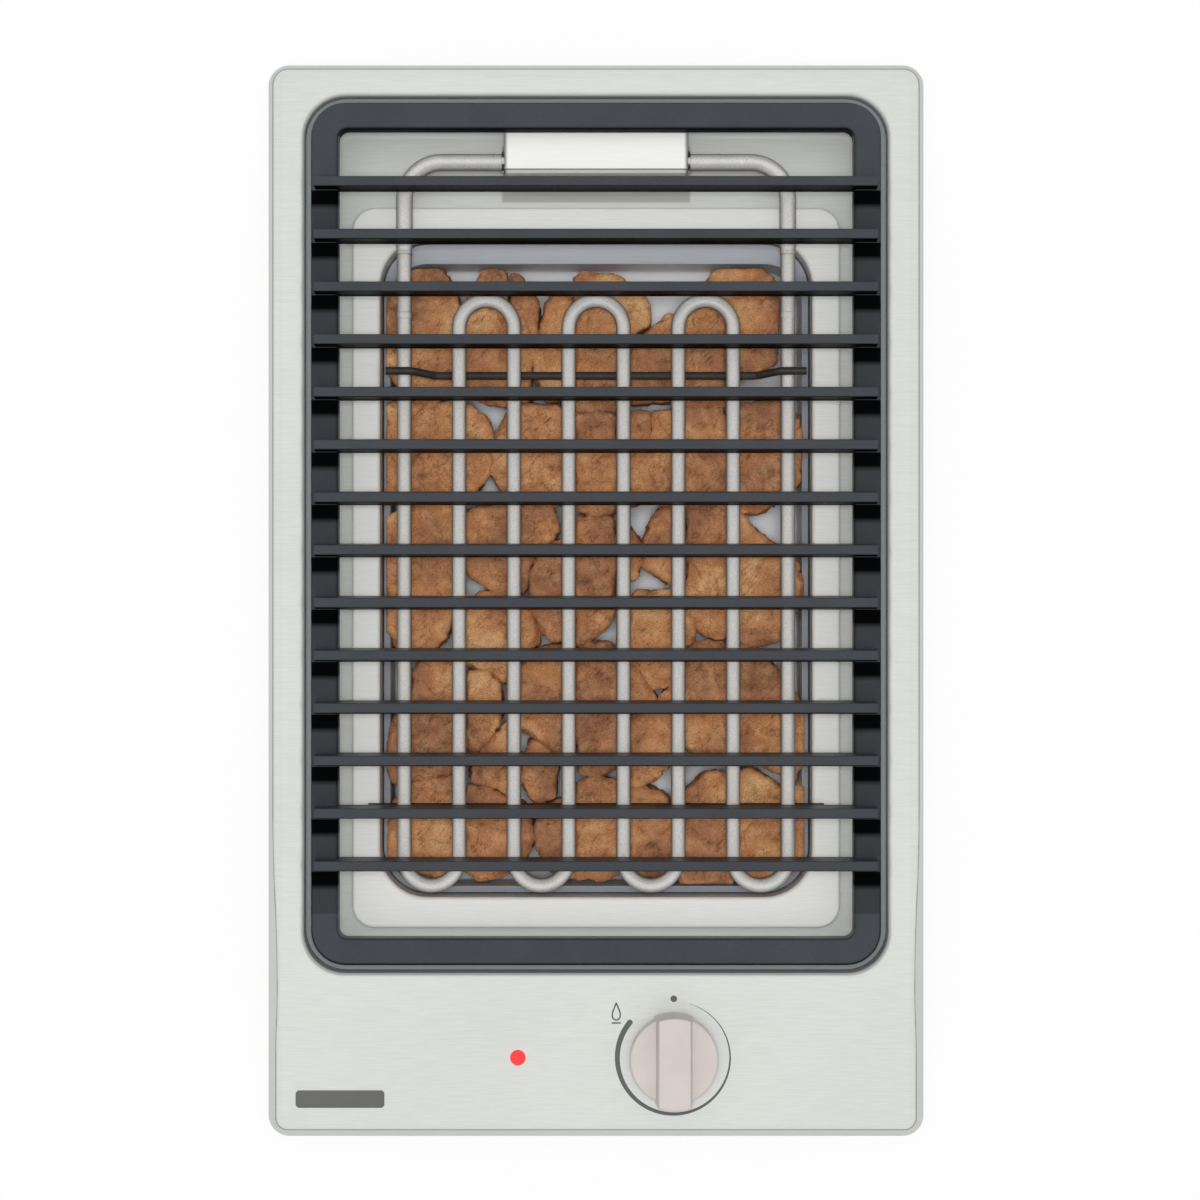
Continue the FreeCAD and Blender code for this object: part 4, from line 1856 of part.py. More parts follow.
def make_knob():
    """Mould the knob: a disc, a grip bar that leans in towards its top, and a hub for the spindle."""
    body = new_body("knob")
    plan = new_sketch(body, "disc_plan", "XY_Plane", "knob_z")
    circle(plan, "knob_radius", "knob_x", "knob_y")
    pad(body, "disc", plan, "knob_disc")
    bend(body, "disc_bend", "grip_bend", level_edges(number("knob_z") + number("knob_disc")))
    lower = new_sketch(body, "grip_foot_plan", "XY_Plane", "knob_z")
    grip_plan(lower, "grip_foot")
    upper = new_sketch(body, "grip_top_plan", "XY_Plane", "knob_top")
    grip_plan(upper, "grip_top")
    loft = body.newObject("PartDesign::AdditiveLoft", "grip")
    loft.Profile = lower
    loft.Sections = [upper]
    loft.Ruled = True
    body.Tip = loft
    bend(body, "grip_round", "grip_bend", level_edges(number("knob_top")))
    plan = new_sketch(body, "knob_hollow_plan", "XY_Plane", "knob_z")
    circle(plan, "knob_radius - knob_wall", "knob_x", "knob_y")
    circle(plan, "hub_radius", "knob_x", "knob_y")
    pocket(body, "knob_underside", plan, "knob_hollow", reverse=True)
    plan = new_sketch(body, "knob_bore_plan", "XY_Plane", "knob_z")
    flatted(plan, "spindle_radius + running_gap / 2", "spindle_flat + running_gap / 2")
    pocket(body, "bore", plan, "knob_bore", reverse=True)


def grip_plan(sketch, width):
    """Draw the grip bar in plan: two straight sides, and ends that follow a circle."""
    x, y = number("knob_x"), number("knob_y")
    half, radius = number(width) / 2, number("grip_radius")
    reach = math.sqrt(radius * radius - half * half)
    spread = math.asin(half / radius)
    for turn in (math.pi / 2, -math.pi / 2):
        ring = Part.Circle(Vector(x, y, 0), Vector(0, 0, 1), radius)
        sketch.addGeometry(Part.ArcOfCircle(ring, turn - spread, turn + spread), False)
    sketch.addGeometry(
        Part.LineSegment(Vector(x - half, y + reach, 0), Vector(x - half, y - reach, 0)), False
    )
    sketch.addGeometry(
        Part.LineSegment(Vector(x + half, y - reach, 0), Vector(x + half, y + reach, 0)), False
    )
    join = sketch.addConstraint
    join(Sketcher.Constraint("Coincident", 0, 2, 2, 1))
    join(Sketcher.Constraint("Coincident", 2, 2, 1, 1))
    join(Sketcher.Constraint("Coincident", 1, 2, 3, 1))
    join(Sketcher.Constraint("Coincident", 3, 2, 0, 1))
    join(Sketcher.Constraint("Coincident", 0, 3, 1, 3))
    join(Sketcher.Constraint("Vertical", 2))
    join(Sketcher.Constraint("Vertical", 3))
    datum(sketch, "Radius", 0, to="grip_radius")
    datum(sketch, "DistanceX", 2, 1, 3, 2, to=width)
    datum(sketch, "DistanceX", -1, 1, 0, 3, to="knob_x")
    datum(sketch, "DistanceX", -1, 1, 2, 1, to=f"knob_x - {width} / 2")
    datum(sketch, "DistanceY", -1, 1, 0, 3, to="knob_y")


def flatted(sketch, radius, flat):
    """Draw the spindle's section: a circle with a flat on its front side."""
    x, y = number("knob_x"), number("knob_y")
    reach, drop = number("spindle_radius"), number("spindle_flat")
    turn = math.asin(drop / reach)
    ring = Part.Circle(Vector(x, y, 0), Vector(0, 0, 1), reach)
    sketch.addGeometry(Part.ArcOfCircle(ring, -turn, math.pi + turn), False)
    half = reach * math.cos(turn)
    sketch.addGeometry(
        Part.LineSegment(Vector(x - half, y - drop, 0), Vector(x + half, y - drop, 0)), False
    )
    sketch.addConstraint(Sketcher.Constraint("Coincident", 0, 2, 1, 1))
    sketch.addConstraint(Sketcher.Constraint("Coincident", 1, 2, 0, 1))
    sketch.addConstraint(Sketcher.Constraint("Horizontal", 1))
    datum(sketch, "Radius", 0, to=radius)
    datum(sketch, "DistanceX", -1, 1, 0, 3, to="knob_x")
    datum(sketch, "DistanceY", -1, 1, 0, 3, to="knob_y")
    datum(sketch, "DistanceY", 1, 1, 0, 3, to=flat)


def make_spindle():
    """Make the regulator's spindle, with its flat inside the knob."""
    body = new_body("regulator_spindle")
    plan = new_sketch(body, "spindle_plan", "XY_Plane", "spindle_z")
    circle(plan, "spindle_radius", "knob_x", "knob_y")
    pad(body, "spindle_round", plan, "knob_z - spindle_z")
    plan = new_sketch(body, "spindle_flat_plan", "XY_Plane", "knob_z - seat_gap")
    flatted(plan, "spindle_radius", "spindle_flat")
    pad(body, "spindle_end", plan, "knob_bore")


# Mains entry


def make_terminal_block():
    """Make the terminal block, its clamping screws and its fixings."""
    form = block(
        "block_form", "block_width", "block_length", "block_height", "block_side", "entry_y", "flange_top"
    )
    tools, poles, fixings = [], [], []
    for index, offset in enumerate(("0 - pole_pitch", "0", "pole_pitch"), start=1):
        x = f"block_side + ({offset})"
        tools.append(
            rod(
                f"pole_way_{index}", "wire_radius + hole_gap", "block_length",
                x, "entry_y - block_length / 2", "flange_top + pole_level", "Y",
            )
        )
        for row, y in (
            ("back", "entry_y + pole_screw_span / 2"), ("front", "entry_y - pole_screw_span / 2")
        ):
            top = "flange_top + block_height"
            tools.append(
                rod(
                    f"pole_well_{row}_{index}", "pole_radius + hole_gap", "pole_depth", x, y,
                    f"{top} - pole_depth",
                )
            )
            poles.append(
                rod(
                    f"pole_screw_{row}_{index}", "pole_radius", "pole_depth - pole_screw_sink", x,
                    y, f"{top} - pole_depth",
                )
            )
    for index, x in enumerate(block_screw_places(), start=1):
        tools.append(
            rod(
                f"block_hole_{index}", "block_screw_radius + hole_gap", "block_height", x,
                "entry_y", "flange_top",
            )
        )
        fixings.append(
            pan_screw(
                f"block_screw_{index}", x, "entry_y", "flange_top + block_height",
                "block_height + housing_sheet",
                radius="block_screw_radius", head_radius="block_screw_head_radius",
            )
        )
    without("terminal_block", form, *tools)
    grouped("terminal_screws", *poles)
    for index, offset in enumerate(("0 - saddle_screw_span / 2", "saddle_screw_span / 2"), start=3):
        y = f"entry_y + ({offset})"
        fixings.append(
            pan_screw(
                f"block_screw_{index}", "saddle_side", y, "saddle_top",
                "saddle_top - flange_top + housing_sheet",
                radius="block_screw_radius", head_radius="block_screw_head_radius",
            )
        )
    grouped("entry_screws", *fixings)


def make_cable_entry():
    """Make the bush in the housing's wall and the two halves of the cable saddle behind it."""
    outside = "housing_width / 2 + bush_rim"
    solids = [
        rod(
            "entry_neck", "bush_neck_radius", "bush_length", f"{outside} - bush_length", "entry_y",
            "entry_height", "X",
        ),
        rod(
            "entry_rim_outside", "bush_rim_radius", "bush_rim", "housing_width / 2", "entry_y",
            "entry_height", "X",
        ),
        rod(
            "entry_rim_inside", "bush_rim_radius", "bush_rim",
            "housing_width / 2 - housing_sheet - bush_rim", "entry_y", "entry_height", "X",
        ),
    ]
    bore = rod(
        "entry_bore", "cable_radius", "bush_length", f"{outside} - bush_length", "entry_y",
        "entry_height", "X",
    )
    without("cable_bush", joined("cable_bush_form", *solids), bore)

    split = "entry_height - saddle_split / 2"
    foot = block(
        "saddle_foot", "saddle_width", "saddle_length", f"{split} - flange_top", "saddle_side",
        "entry_y", "flange_top",
    )
    bar = block(
        "saddle_bar_form", "saddle_width", "saddle_length", "saddle_top - entry_height - saddle_split / 2",
        "saddle_side", "entry_y", "entry_height + saddle_split / 2",
    )
    for name, form in (("cable_saddle", foot), ("cable_saddle_bar", bar)):
        tools = [
            rod(
                f"{name}_groove", "cable_radius", "saddle_width", "saddle_side - saddle_width / 2",
                "entry_y", "entry_height", "X",
            )
        ]
        for index, offset in enumerate(("0 - saddle_screw_span / 2", "saddle_screw_span / 2"), start=1):
            tools.append(
                rod(
                    f"{name}_hole_{index}", "block_screw_radius + hole_gap", "saddle_top",
                    "saddle_side", f"entry_y + ({offset})", "flange_top",
                )
            )
        without(name, form, *tools)


def make_earth_stud():
    """Make the earth stud, the lug on it and its two nuts."""
    x, y = "stud_side", "entry_y"
    shank = rod("stud_shank", "stud_radius", "stud_height + housing_sheet", x, y, "housing_z")
    head = rod("stud_head_form", "stud_radius + stud_head_rim", "stud_head", x, y, "housing_z - stud_head")
    joined("earth_stud", shank, head)
    nuts = []
    for name, z in (("lower", "flange_top"), ("upper", "flange_top + stud_nut_height + lug_sheet")):
        form = hexagon(f"stud_nut_form_{name}", "stud_nut_across", "stud_nut_height", x, y, z)
        hole = rod(f"stud_nut_hole_{name}", "stud_radius + running_gap", "stud_nut_height", x, y, z)
        nuts.append(without(f"stud_nut_{name}", form, hole))
    grouped("earth_nuts", *nuts)
    lug_z = "flange_top + stud_nut_height"
    ring = rod("lug_ring", "lug_radius", "lug_sheet", x, y, lug_z)
    barrel = rod(
        "lug_barrel_form", "lug_barrel", "lug_reach - lug_radius", x, f"{y} - lug_reach",
        f"{lug_z} + lug_barrel", "Y",
    )
    eye = rod("lug_eye", "stud_radius + running_gap", "3 * lug_sheet", x, y, f"{lug_z} - lug_sheet")
    bore = rod(
        "lug_bore", "wire_radius + running_gap", "lug_reach - lug_radius - lug_sheet", x,
        f"{y} - lug_reach", f"{lug_z} + lug_barrel", "Y",
    )
    without("earth_lug", joined("lug_form", ring, barrel), eye, bore)


# Wiring


def make_channel():
    """Fold the channel that covers the element's leads on their way under the trays."""
    middle = "(channel_front + channel_back) / 2"
    length = "channel_back - channel_front"
    top = block(
        "channel_top", "channel_width", length, "channel_sheet", "0", middle,
        "base_sheet + channel_height - channel_sheet",
    )
    solids = [top]
    for side, (x, y, z) in zip(
        ("left", "right"), halves("(channel_width / 2 - channel_sheet / 2)", middle, "base_sheet")
    ):
        solids.append(block(f"channel_wall_{side}", "channel_sheet", length, "channel_height", x, y, z))
    for side, (x, y, z) in zip(
        ("left", "right"), halves(
            "(channel_width / 2 + channel_flange / 2 - channel_sheet)", middle, "base_sheet"
        )
    ):
        solids.append(block(f"channel_flange_{side}", "channel_flange", length, "channel_sheet", x, y, z))
    joined("wire_channel", *solids)


def make_harness(label, wires, radius="wire_radius", turn="wire_bend"):
    """Lay wires along their corners and group them."""
    solids = [tube_along(bent_line(corners, number(turn)), number(radius)) for corners in wires]
    new_piece(label, Part.makeCompound(solids))


def element_wires():
    """Return the corners of the two leads from the lead block to the regulator's back tabs."""
    start_y = number("pivot_back") + number("lead_block_length") / 2 - number("lead_insert")
    down_y = number("conduit_y")
    lead_z = number("lead_line_z")
    spread = number("wire_spread")
    level = number("wire_level")
    tab_y = number("knob_y") + number("tab_row")
    foot = number("tab_z") - number("running_gap")
    wires = []
    for side, x in ((-1, number("knob_x")), (1, number("knob_x") - number("tab_pitch"))):
        z = level + side * (number("wire_spread") + number("running_gap"))
        wires.append(
            [
                (side * spread, start_y, lead_z),
                (side * spread, down_y, lead_z, number("lead_bend")),
                (side * spread, down_y, z),
                (side * spread, tab_y, z),
                (x, tab_y, z),
                (x, tab_y, foot),
            ]
        )
    return wires


def mains_wires():
    """Return the corners of the two wires from the terminal block to the regulator's right tabs."""
    way_z = number("flange_top") + number("pole_level")
    start_y = number("entry_y") + number("block_length") / 2 - number("pole_insert")
    x = number("knob_x") + number("tab_pitch")
    foot = number("tab_z") - number("running_gap")
    row = number("tab_row")
    middle = number("block_side")
    wires = []
    turn, level = number("mains_turn"), number("mains_level")
    for pole_x, turn_y, z, tab_y in (
        (
            middle - number("pole_pitch"), turn - number("mains_turn_step"),
            level + number("mains_level_step"), row,
        ),
        (middle, turn, level, -row),
    ):
        tab_y += number("knob_y")
        wires.append(
            [
                (pole_x, start_y, way_z),
                (pole_x, turn_y, way_z),
                (pole_x, turn_y, z),
                (x, turn_y, z),
                (x, tab_y, z),
                (x, tab_y, foot),
            ]
        )
    return wires


def lamp_wires():
    """Return the corners of the two thin wires from the regulator's front tabs to the lamp."""
    foot = number("tab_z") - number("running_gap")
    lamp_foot = number("lamp_z") - number("tab_length") - number("running_gap")
    tab_y = number("knob_y") - number("tab_row")
    half = number("lamp_tab_span") / 2
    level = number("lamp_wire_level")
    knob_x = number("knob_x")
    wires = []
    for x, z, offset in (
        (knob_x - number("tab_pitch"), level, -half),
        (knob_x, level - number("lamp_wire_step"), half),
    ):
        lamp_x, lamp_y = number("lamp_x"), number("lamp_y") + offset
        wires.append([(x, tab_y, foot), (x, tab_y, z), (lamp_x, lamp_y, z), (lamp_x, lamp_y, lamp_foot)])
    return wires


def earth_wires():
    """Return the corners of the wire from the terminal block to the earth lug."""
    way_z = number("flange_top") + number("pole_level")
    lug_z = number("flange_top") + number("stud_nut_height") + number("lug_barrel")
    start_y = number("entry_y") - number("block_length") / 2 + number("pole_insert")
    x = number("block_side") + number("pole_pitch")
    turn_y = number("earth_turn")
    stud_x = number("stud_side")
    lug_y = number("entry_y") - number("lug_reach") + number("lug_insert")
    return [[(x, start_y, way_z), (x, turn_y, way_z), (stud_x, turn_y, lug_z), (stud_x, lug_y, lug_z)]]


make_top_plate()
make_grid()
make_heater()
make_cold_sleeve("cold_sleeve_left", -1)
make_cold_sleeve("cold_sleeve_right", 1)
make_front_rod()
make_back_rod()
make_end_seals()
make_end_pins()
make_pivot_cover()
make_pivot_base()
make_pivot_bushes()
make_lead_block()
make_conduit()
make_pivot_screws()
make_basin_tray()
make_stone_tray()
make_stones()
make_housing()
make_base()
make_seal()
make_side_brackets()
make_clamps()
make_partition()
make_control_bracket()
make_regulator()
make_lamp()
make_knob()
make_spindle()
make_terminal_block()
make_cable_entry()
make_earth_stud()
make_channel()
make_harness("harness_element", element_wires())
make_harness("harness_mains", mains_wires())
make_harness("harness_lamp", lamp_wires(), "lamp_wire_radius", "lamp_wire_bend")
make_harness("harness_earth", earth_wires())
document.recompute()

# Export

NODES = [
    "top_plate", "worktop_seal", "housing", "base_cover", "base_screws", "side_brackets", "side_screws",
    "worktop_clamps", "clamp_fixings", "clamp_screws", "heat_partition", "duct_grommet", "wire_channel",
    "basin_tray", "stone_tray", "lava_stones_row_1", "lava_stones_row_2", "lava_stones_row_3",
    "lava_stones_row_4", "lava_stones_row_5", "grid", "heating_element", "cold_sleeve_left",
    "cold_sleeve_right", "end_seals", "end_pins", "front_rod", "back_rod", "pivot_cover", "pivot_base",
    "pivot_bushes", "pivot_screws", "pivot_nuts", "lead_block", "lead_conduit", "conduit_nut",
    "control_bracket", "energy_regulator", "regulator_screws", "regulator_tabs", "regulator_spindle",
    "knob", "lamp_lens", "lamp_holder", "lamp_tabs", "terminal_block", "terminal_screws",
    "entry_screws", "cable_bush", "cable_saddle", "cable_saddle_bar", "earth_stud", "earth_nuts",
    "earth_lug", "harness_element", "harness_mains", "harness_lamp", "harness_earth",
]

faults = []
for item in document.Objects:
    if "Invalid" in item.State or "Error" in item.State:
        faults.append(f"{item.Name}: {item.State}")
for label in NODES:
    piece = document.getObjectsByLabel(label)[0]
    if piece.Shape.isNull() or not piece.Shape.isValid() or not piece.Shape.Solids:
        faults.append(f"{label}: no valid solid")
if faults:
    raise RuntimeError("; ".join(faults))
for label in NODES:
    piece = document.getObjectsByLabel(label)[0]
    piece.Shape.exportStep(f"parts/{label}.step")
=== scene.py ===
"""Looks of the built-in electric barbecue cooktop, in metres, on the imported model's frame."""

import logging
import math
from dataclasses import dataclass, field
from enum import Enum

import bmesh
import bpy
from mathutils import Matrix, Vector, noise
from mathutils.bvhtree import BVHTree

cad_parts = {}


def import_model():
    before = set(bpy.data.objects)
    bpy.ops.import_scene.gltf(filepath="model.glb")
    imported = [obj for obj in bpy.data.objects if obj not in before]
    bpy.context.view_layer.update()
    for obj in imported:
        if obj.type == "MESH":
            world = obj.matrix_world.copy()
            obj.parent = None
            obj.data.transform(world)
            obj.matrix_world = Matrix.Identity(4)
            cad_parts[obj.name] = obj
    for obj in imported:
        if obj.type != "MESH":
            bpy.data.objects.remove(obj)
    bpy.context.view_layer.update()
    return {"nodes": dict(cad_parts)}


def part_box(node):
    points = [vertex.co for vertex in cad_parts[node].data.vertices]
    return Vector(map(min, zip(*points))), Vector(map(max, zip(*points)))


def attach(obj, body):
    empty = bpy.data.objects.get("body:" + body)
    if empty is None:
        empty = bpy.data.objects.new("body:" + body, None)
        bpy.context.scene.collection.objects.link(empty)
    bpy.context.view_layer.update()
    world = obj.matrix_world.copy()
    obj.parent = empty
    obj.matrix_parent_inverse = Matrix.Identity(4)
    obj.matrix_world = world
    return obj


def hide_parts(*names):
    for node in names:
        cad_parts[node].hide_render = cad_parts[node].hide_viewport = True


log = logging.getLogger("cooktop")

Flat = tuple[float, float]
Point = tuple[float, float, float]
Colour = tuple[float, float, float]
Face = tuple[int, ...]
Mark = tuple[list[Flat], list[Face]]
Solid = tuple[list[Point], list[Face]]
Stops = tuple[tuple[float, Colour], ...]
Shades = tuple[Flat, ...]
Mesh = bpy.types.Mesh
Socket = bpy.types.NodeSocket
Value = Socket | float | tuple[float, ...]

WHITE: Colour = (255.0, 255.0, 255.0)
WELD = 0.000001


class Body(Enum):
    """The bodies that the scene's own pieces ride on."""

    HOB = "hob"
    ELEMENT = "element"


class Slot(Enum):
    """Names of material slots for the scene's own pieces."""

    PLATE = "plate_steel"
    HEATER = "heater_steel"
    LAVA = "lava"
    SCREWS = "screw_steel"


class Own(Enum):
    """What a node tree can read from the thing that it covers."""

    PLACE = "Object"
    NORMAL = "Normal"
    DIRECTION = "Generated"


class Blend(Enum):
    """The ways in which two colours are mixed."""

    MIX = "MIX"
    MULTIPLY = "MULTIPLY"


class Op(Enum):
    """The ways in which two values are combined."""

    TIMES = "MULTIPLY"
    PLUS = "ADD"
    POWER = "POWER"
    MODULO = "MODULO"
    LARGER = "MAXIMUM"


def linear(colour: Colour) -> tuple[float, float, float, float]:
    """Turn a colour in screen values into the shader's linear values.

    Args:
        colour: its parts from 0 to 255.

    Returns:
        Its linear parts from 0 to 1, and full cover.
    """
    values = []
    for part in colour:
        share = part / 255
        values.append(share / 12.92 if share <= 0.04045 else ((share + 0.055) / 1.055) ** 2.4)
    return (*values, 1.0)


class Nodes:
    """A node tree, with short calls for the nodes that the finishes use."""

    def __init__(self, owner: bpy.types.Material | bpy.types.World) -> None:
        """Start with the tree of a material, which has a Principled BSDF, or of the world.

        Args:
            owner: the new material or world.
        """
        owner.use_nodes = True
        self.tree = owner.node_tree
        self.shader = self.tree.nodes.get("Principled BSDF")

    def feed(self, entry: Socket, value: Value) -> None:
        """Link a value to a node's entry, or set the entry where the value is a constant.

        Args:
            entry: the entry's socket.
            value: another node's socket, or a constant.
        """
        if isinstance(value, Socket):
            self.tree.links.new(value, entry)
        else:
            entry.default_value = value

    def add(self, kind: str, entries: dict[str | int, Value], **settings: str) -> bpy.types.Node:
        """Add a node.

        Args:
            kind: the node's type name, without the leading word.
            entries: the values of its entries.
            settings: its plain properties.

        Returns:
            The new node.
        """
        node = self.tree.nodes.new("ShaderNode" + kind)
        for key, setting in settings.items():
            setattr(node, key, setting)
        for key, value in entries.items():
            self.feed(node.inputs[key], value)
        return node

    def surface(self, **entries: Value) -> None:
        """Feed the shader's entries; an underscore stands for a space."""
        for key, value in entries.items():
            self.feed(self.shader.inputs[key.replace("_", " ")], value)

    def own(self, what: Own) -> Socket:
        """Return the coordinates, the normal or the direction of what the tree covers."""
        return self.add("TexCoord", {}).outputs[what.value]

    def metres(self, scale: Point = (1.0, 1.0, 1.0)) -> Socket:
        """Return the object's own coordinates, stretched by a scale along the three axes."""
        entries = {"Vector": self.own(Own.PLACE), "Scale": scale}
        return self.add("Mapping", entries).outputs["Vector"]

    def axes(self, what: Own = Own.PLACE) -> dict[str, Socket]:
        """Return the X, Y and Z parts of what the tree can read."""
        return dict(self.add("SeparateXYZ", {"Vector": self.own(what)}).outputs.items())

    def noise(
        self, vector: Socket, scale: float, detail: float = 3.0, rough: float = 0.5
    ) -> Socket:
        """Return a noise of a fineness, with octaves of a number and a strength, at a vector."""
        entries = {"Vector": vector, "Scale": scale, "Detail": detail, "Roughness": rough}
        return self.add("TexNoise", entries).outputs["Fac"]

    def cells(self, vector: Socket, scale: float) -> Socket:
        """Return the distance to the middle of a cell pattern's cells at a vector."""
        return self.add("TexVoronoi", {"Vector": vector, "Scale": scale}).outputs["Distance"]

    def spread(
        self, value: Socket, low: float, high: float,
        start: float = 0.3, end: float = 0.7, **settings: str,
    ) -> Socket:
        """Map a value between start and end onto the span from low to high."""
        limits = {"From Min": start, "From Max": end, "To Min": low, "To Max": high}
        return self.add("MapRange", {"Value": value, **limits}, **settings).outputs["Result"]

    def ramp(self, value: Socket, *stops: tuple[float, Colour]) -> Socket:
        """Return a colour that runs through stops as a value grows.

        Args:
            value: the value to read.
            stops: positions from 0 to 1 with their screen colours.

        Returns:
            The colour.
        """
        node = self.add("ValToRGB", {"Fac": value})
        points = node.color_ramp.elements
        while len(points) < len(stops):
            points.new(0.5)
        for point, (position, colour) in zip(points, stops):
            point.position = position
            point.color = linear(colour)
        return node.outputs["Color"]

    def shades(self, value: Socket, *stops: Flat) -> Socket:
        """Return a grey that runs through stops, positions and shades from 0 to 1."""
        return self.ramp(value, *((place, (shade * 255,) * 3) for place, shade in stops))

    def mixed(self, share: Value, one: Value, other: Value, blend: Blend = Blend.MIX) -> Socket:
        """Mix one colour with another one by a share from 0 to 1."""
        settings = {"data_type": "RGBA", "blend_type": blend.value}
        return self.add("Mix", {0: share, 6: one, 7: other}, **settings).outputs[2]

    def tinted(self, colour: Socket, *tints: Socket) -> Socket:
        """Multiply a colour by tints.

        Args:
            colour: the colour.
            tints: colours or values that darken it.

        Returns:
            The darkened colour.
        """
        for tint in tints:
            colour = self.mixed(1.0, colour, tint, Blend.MULTIPLY)
        return colour

    def maths(self, how: Op, one: Socket, *others: Socket | float) -> Socket:
        """Combine a value with others, one after the other.

        Args:
            how: how they are combined.
            one: the first value.
            others: the values that follow.

        Returns:
            The result.
        """
        for other in others:
            one = self.add("Math", {0: one, 1: other}, operation=how.value).outputs[0]
        return one

    def within(self, value: Socket, low: float, high: float, soft: float) -> Socket:
        """Return 1 between low and high, fading to 0 over the soft distance outside them."""
        rise = self.spread(value, 0.0, 1.0, low - soft, low)
        return self.maths(Op.TIMES, rise, self.spread(value, 1.0, 0.0, high, high + soft))

    def seen(self) -> Socket:
        """Tell what the camera sees, also in mirrors and glass, from what only lights the scene.

        Returns:
            1 for what is seen and 0 for light.
        """
        rays = self.add("LightPath", {}).outputs
        kinds = ("Is Camera Ray", "Is Glossy Ray", "Is Transmission Ray")
        return self.maths(Op.LARGER, *(rays[kind] for kind in kinds))

    def relief(self, height: Socket, depth: float, strength: float) -> None:
        """Give the surface a relief of a depth in metres and a strength."""
        bump = self.add("Bump", {"Height": height, "Distance": depth, "Strength": strength})
        self.surface(Normal=bump.outputs["Normal"])


@dataclass(frozen=True)
class Finish:
    """What a surface is made of: each kind builds its own shader.

    The grain moves the roughness by the two steps of the gloss, and stands out by a depth in
    metres and a strength.
    """

    name: str
    colour: Colour
    roughness: float = 0.45
    gloss: Flat = (-0.05, 0.05)
    depth: float = 0.00002
    strength: float = 0.5

    def material(self) -> bpy.types.Material:
        """Make the finish's material.

        Returns:
            The material.
        """
        material = bpy.data.materials.new(self.name)
        self.build(Nodes(material))
        return material

    def build(self, nodes: Nodes) -> None:
        """Fill the material's node tree."""
        raise NotImplementedError

    def shifted(self, step: float) -> Colour:
        """Return the colour, lighter or darker by a step."""
        return tuple(min(255.0, max(0.0, part + step)) for part in self.colour)

    def grained(self, nodes: Nodes, grain: Socket, height: Socket, **entries: Value) -> None:
        """Feed the shader, with a roughness and a relief that follow the grain.

        Args:
            nodes: the node tree.
            grain: what moves the roughness.
            height: what stands out from the surface.
            entries: the shader's other entries.
        """
        low, high = (self.roughness + step for step in self.gloss)
        nodes.surface(Roughness=nodes.spread(grain, low, high), **entries)
        nodes.relief(height, self.depth, self.strength)


@dataclass(frozen=True)
class BrushedSteel(Finish):
    """Stainless sheet with fine straight brush lines and faint broad patches."""

    roughness: float = 0.42
    gloss: Flat = (-0.05, 0.07)
    depth: float = 0.000004
    strength: float = 1.0
    lines: Point = (70.0, 1400.0, 1400.0)
    contrast: float = 5.0
    patch_scale: float = 9.0
    patches: float = 4.0
    metal: float = 0.22

    def build(self, nodes: Nodes) -> None:
        """Lay the brush lines over the patches.

        Args:
            nodes: the node tree.
        """
        lines = nodes.noise(nodes.metres(self.lines), 1.0, 4.0, 0.62)
        dark, light = self.shifted(-self.contrast), self.shifted(self.contrast)
        streaks = nodes.ramp(lines, (0.3, dark), (0.5, self.colour), (0.7, light))
        dull = (255 - self.patches,) * 3
        patches = nodes.noise(nodes.metres(), self.patch_scale, 2.0)
        cloud = nodes.ramp(patches, (0.3, dull), (0.7, WHITE))
        # The tints are painted shade and painted shadow.
        colour = nodes.tinted(streaks, cloud, *self.tints(nodes))
        entries = {"Base_Color": colour, "Metallic": self.metal, "Specular_IOR_Level": 0.4}
        self.grained(nodes, lines, lines, **entries)

    def tints(self, nodes: Nodes) -> list[Socket]:
        """Return the tints of the sheet's painted shade and painted shadow; a plain sheet has none.
        """
        return []


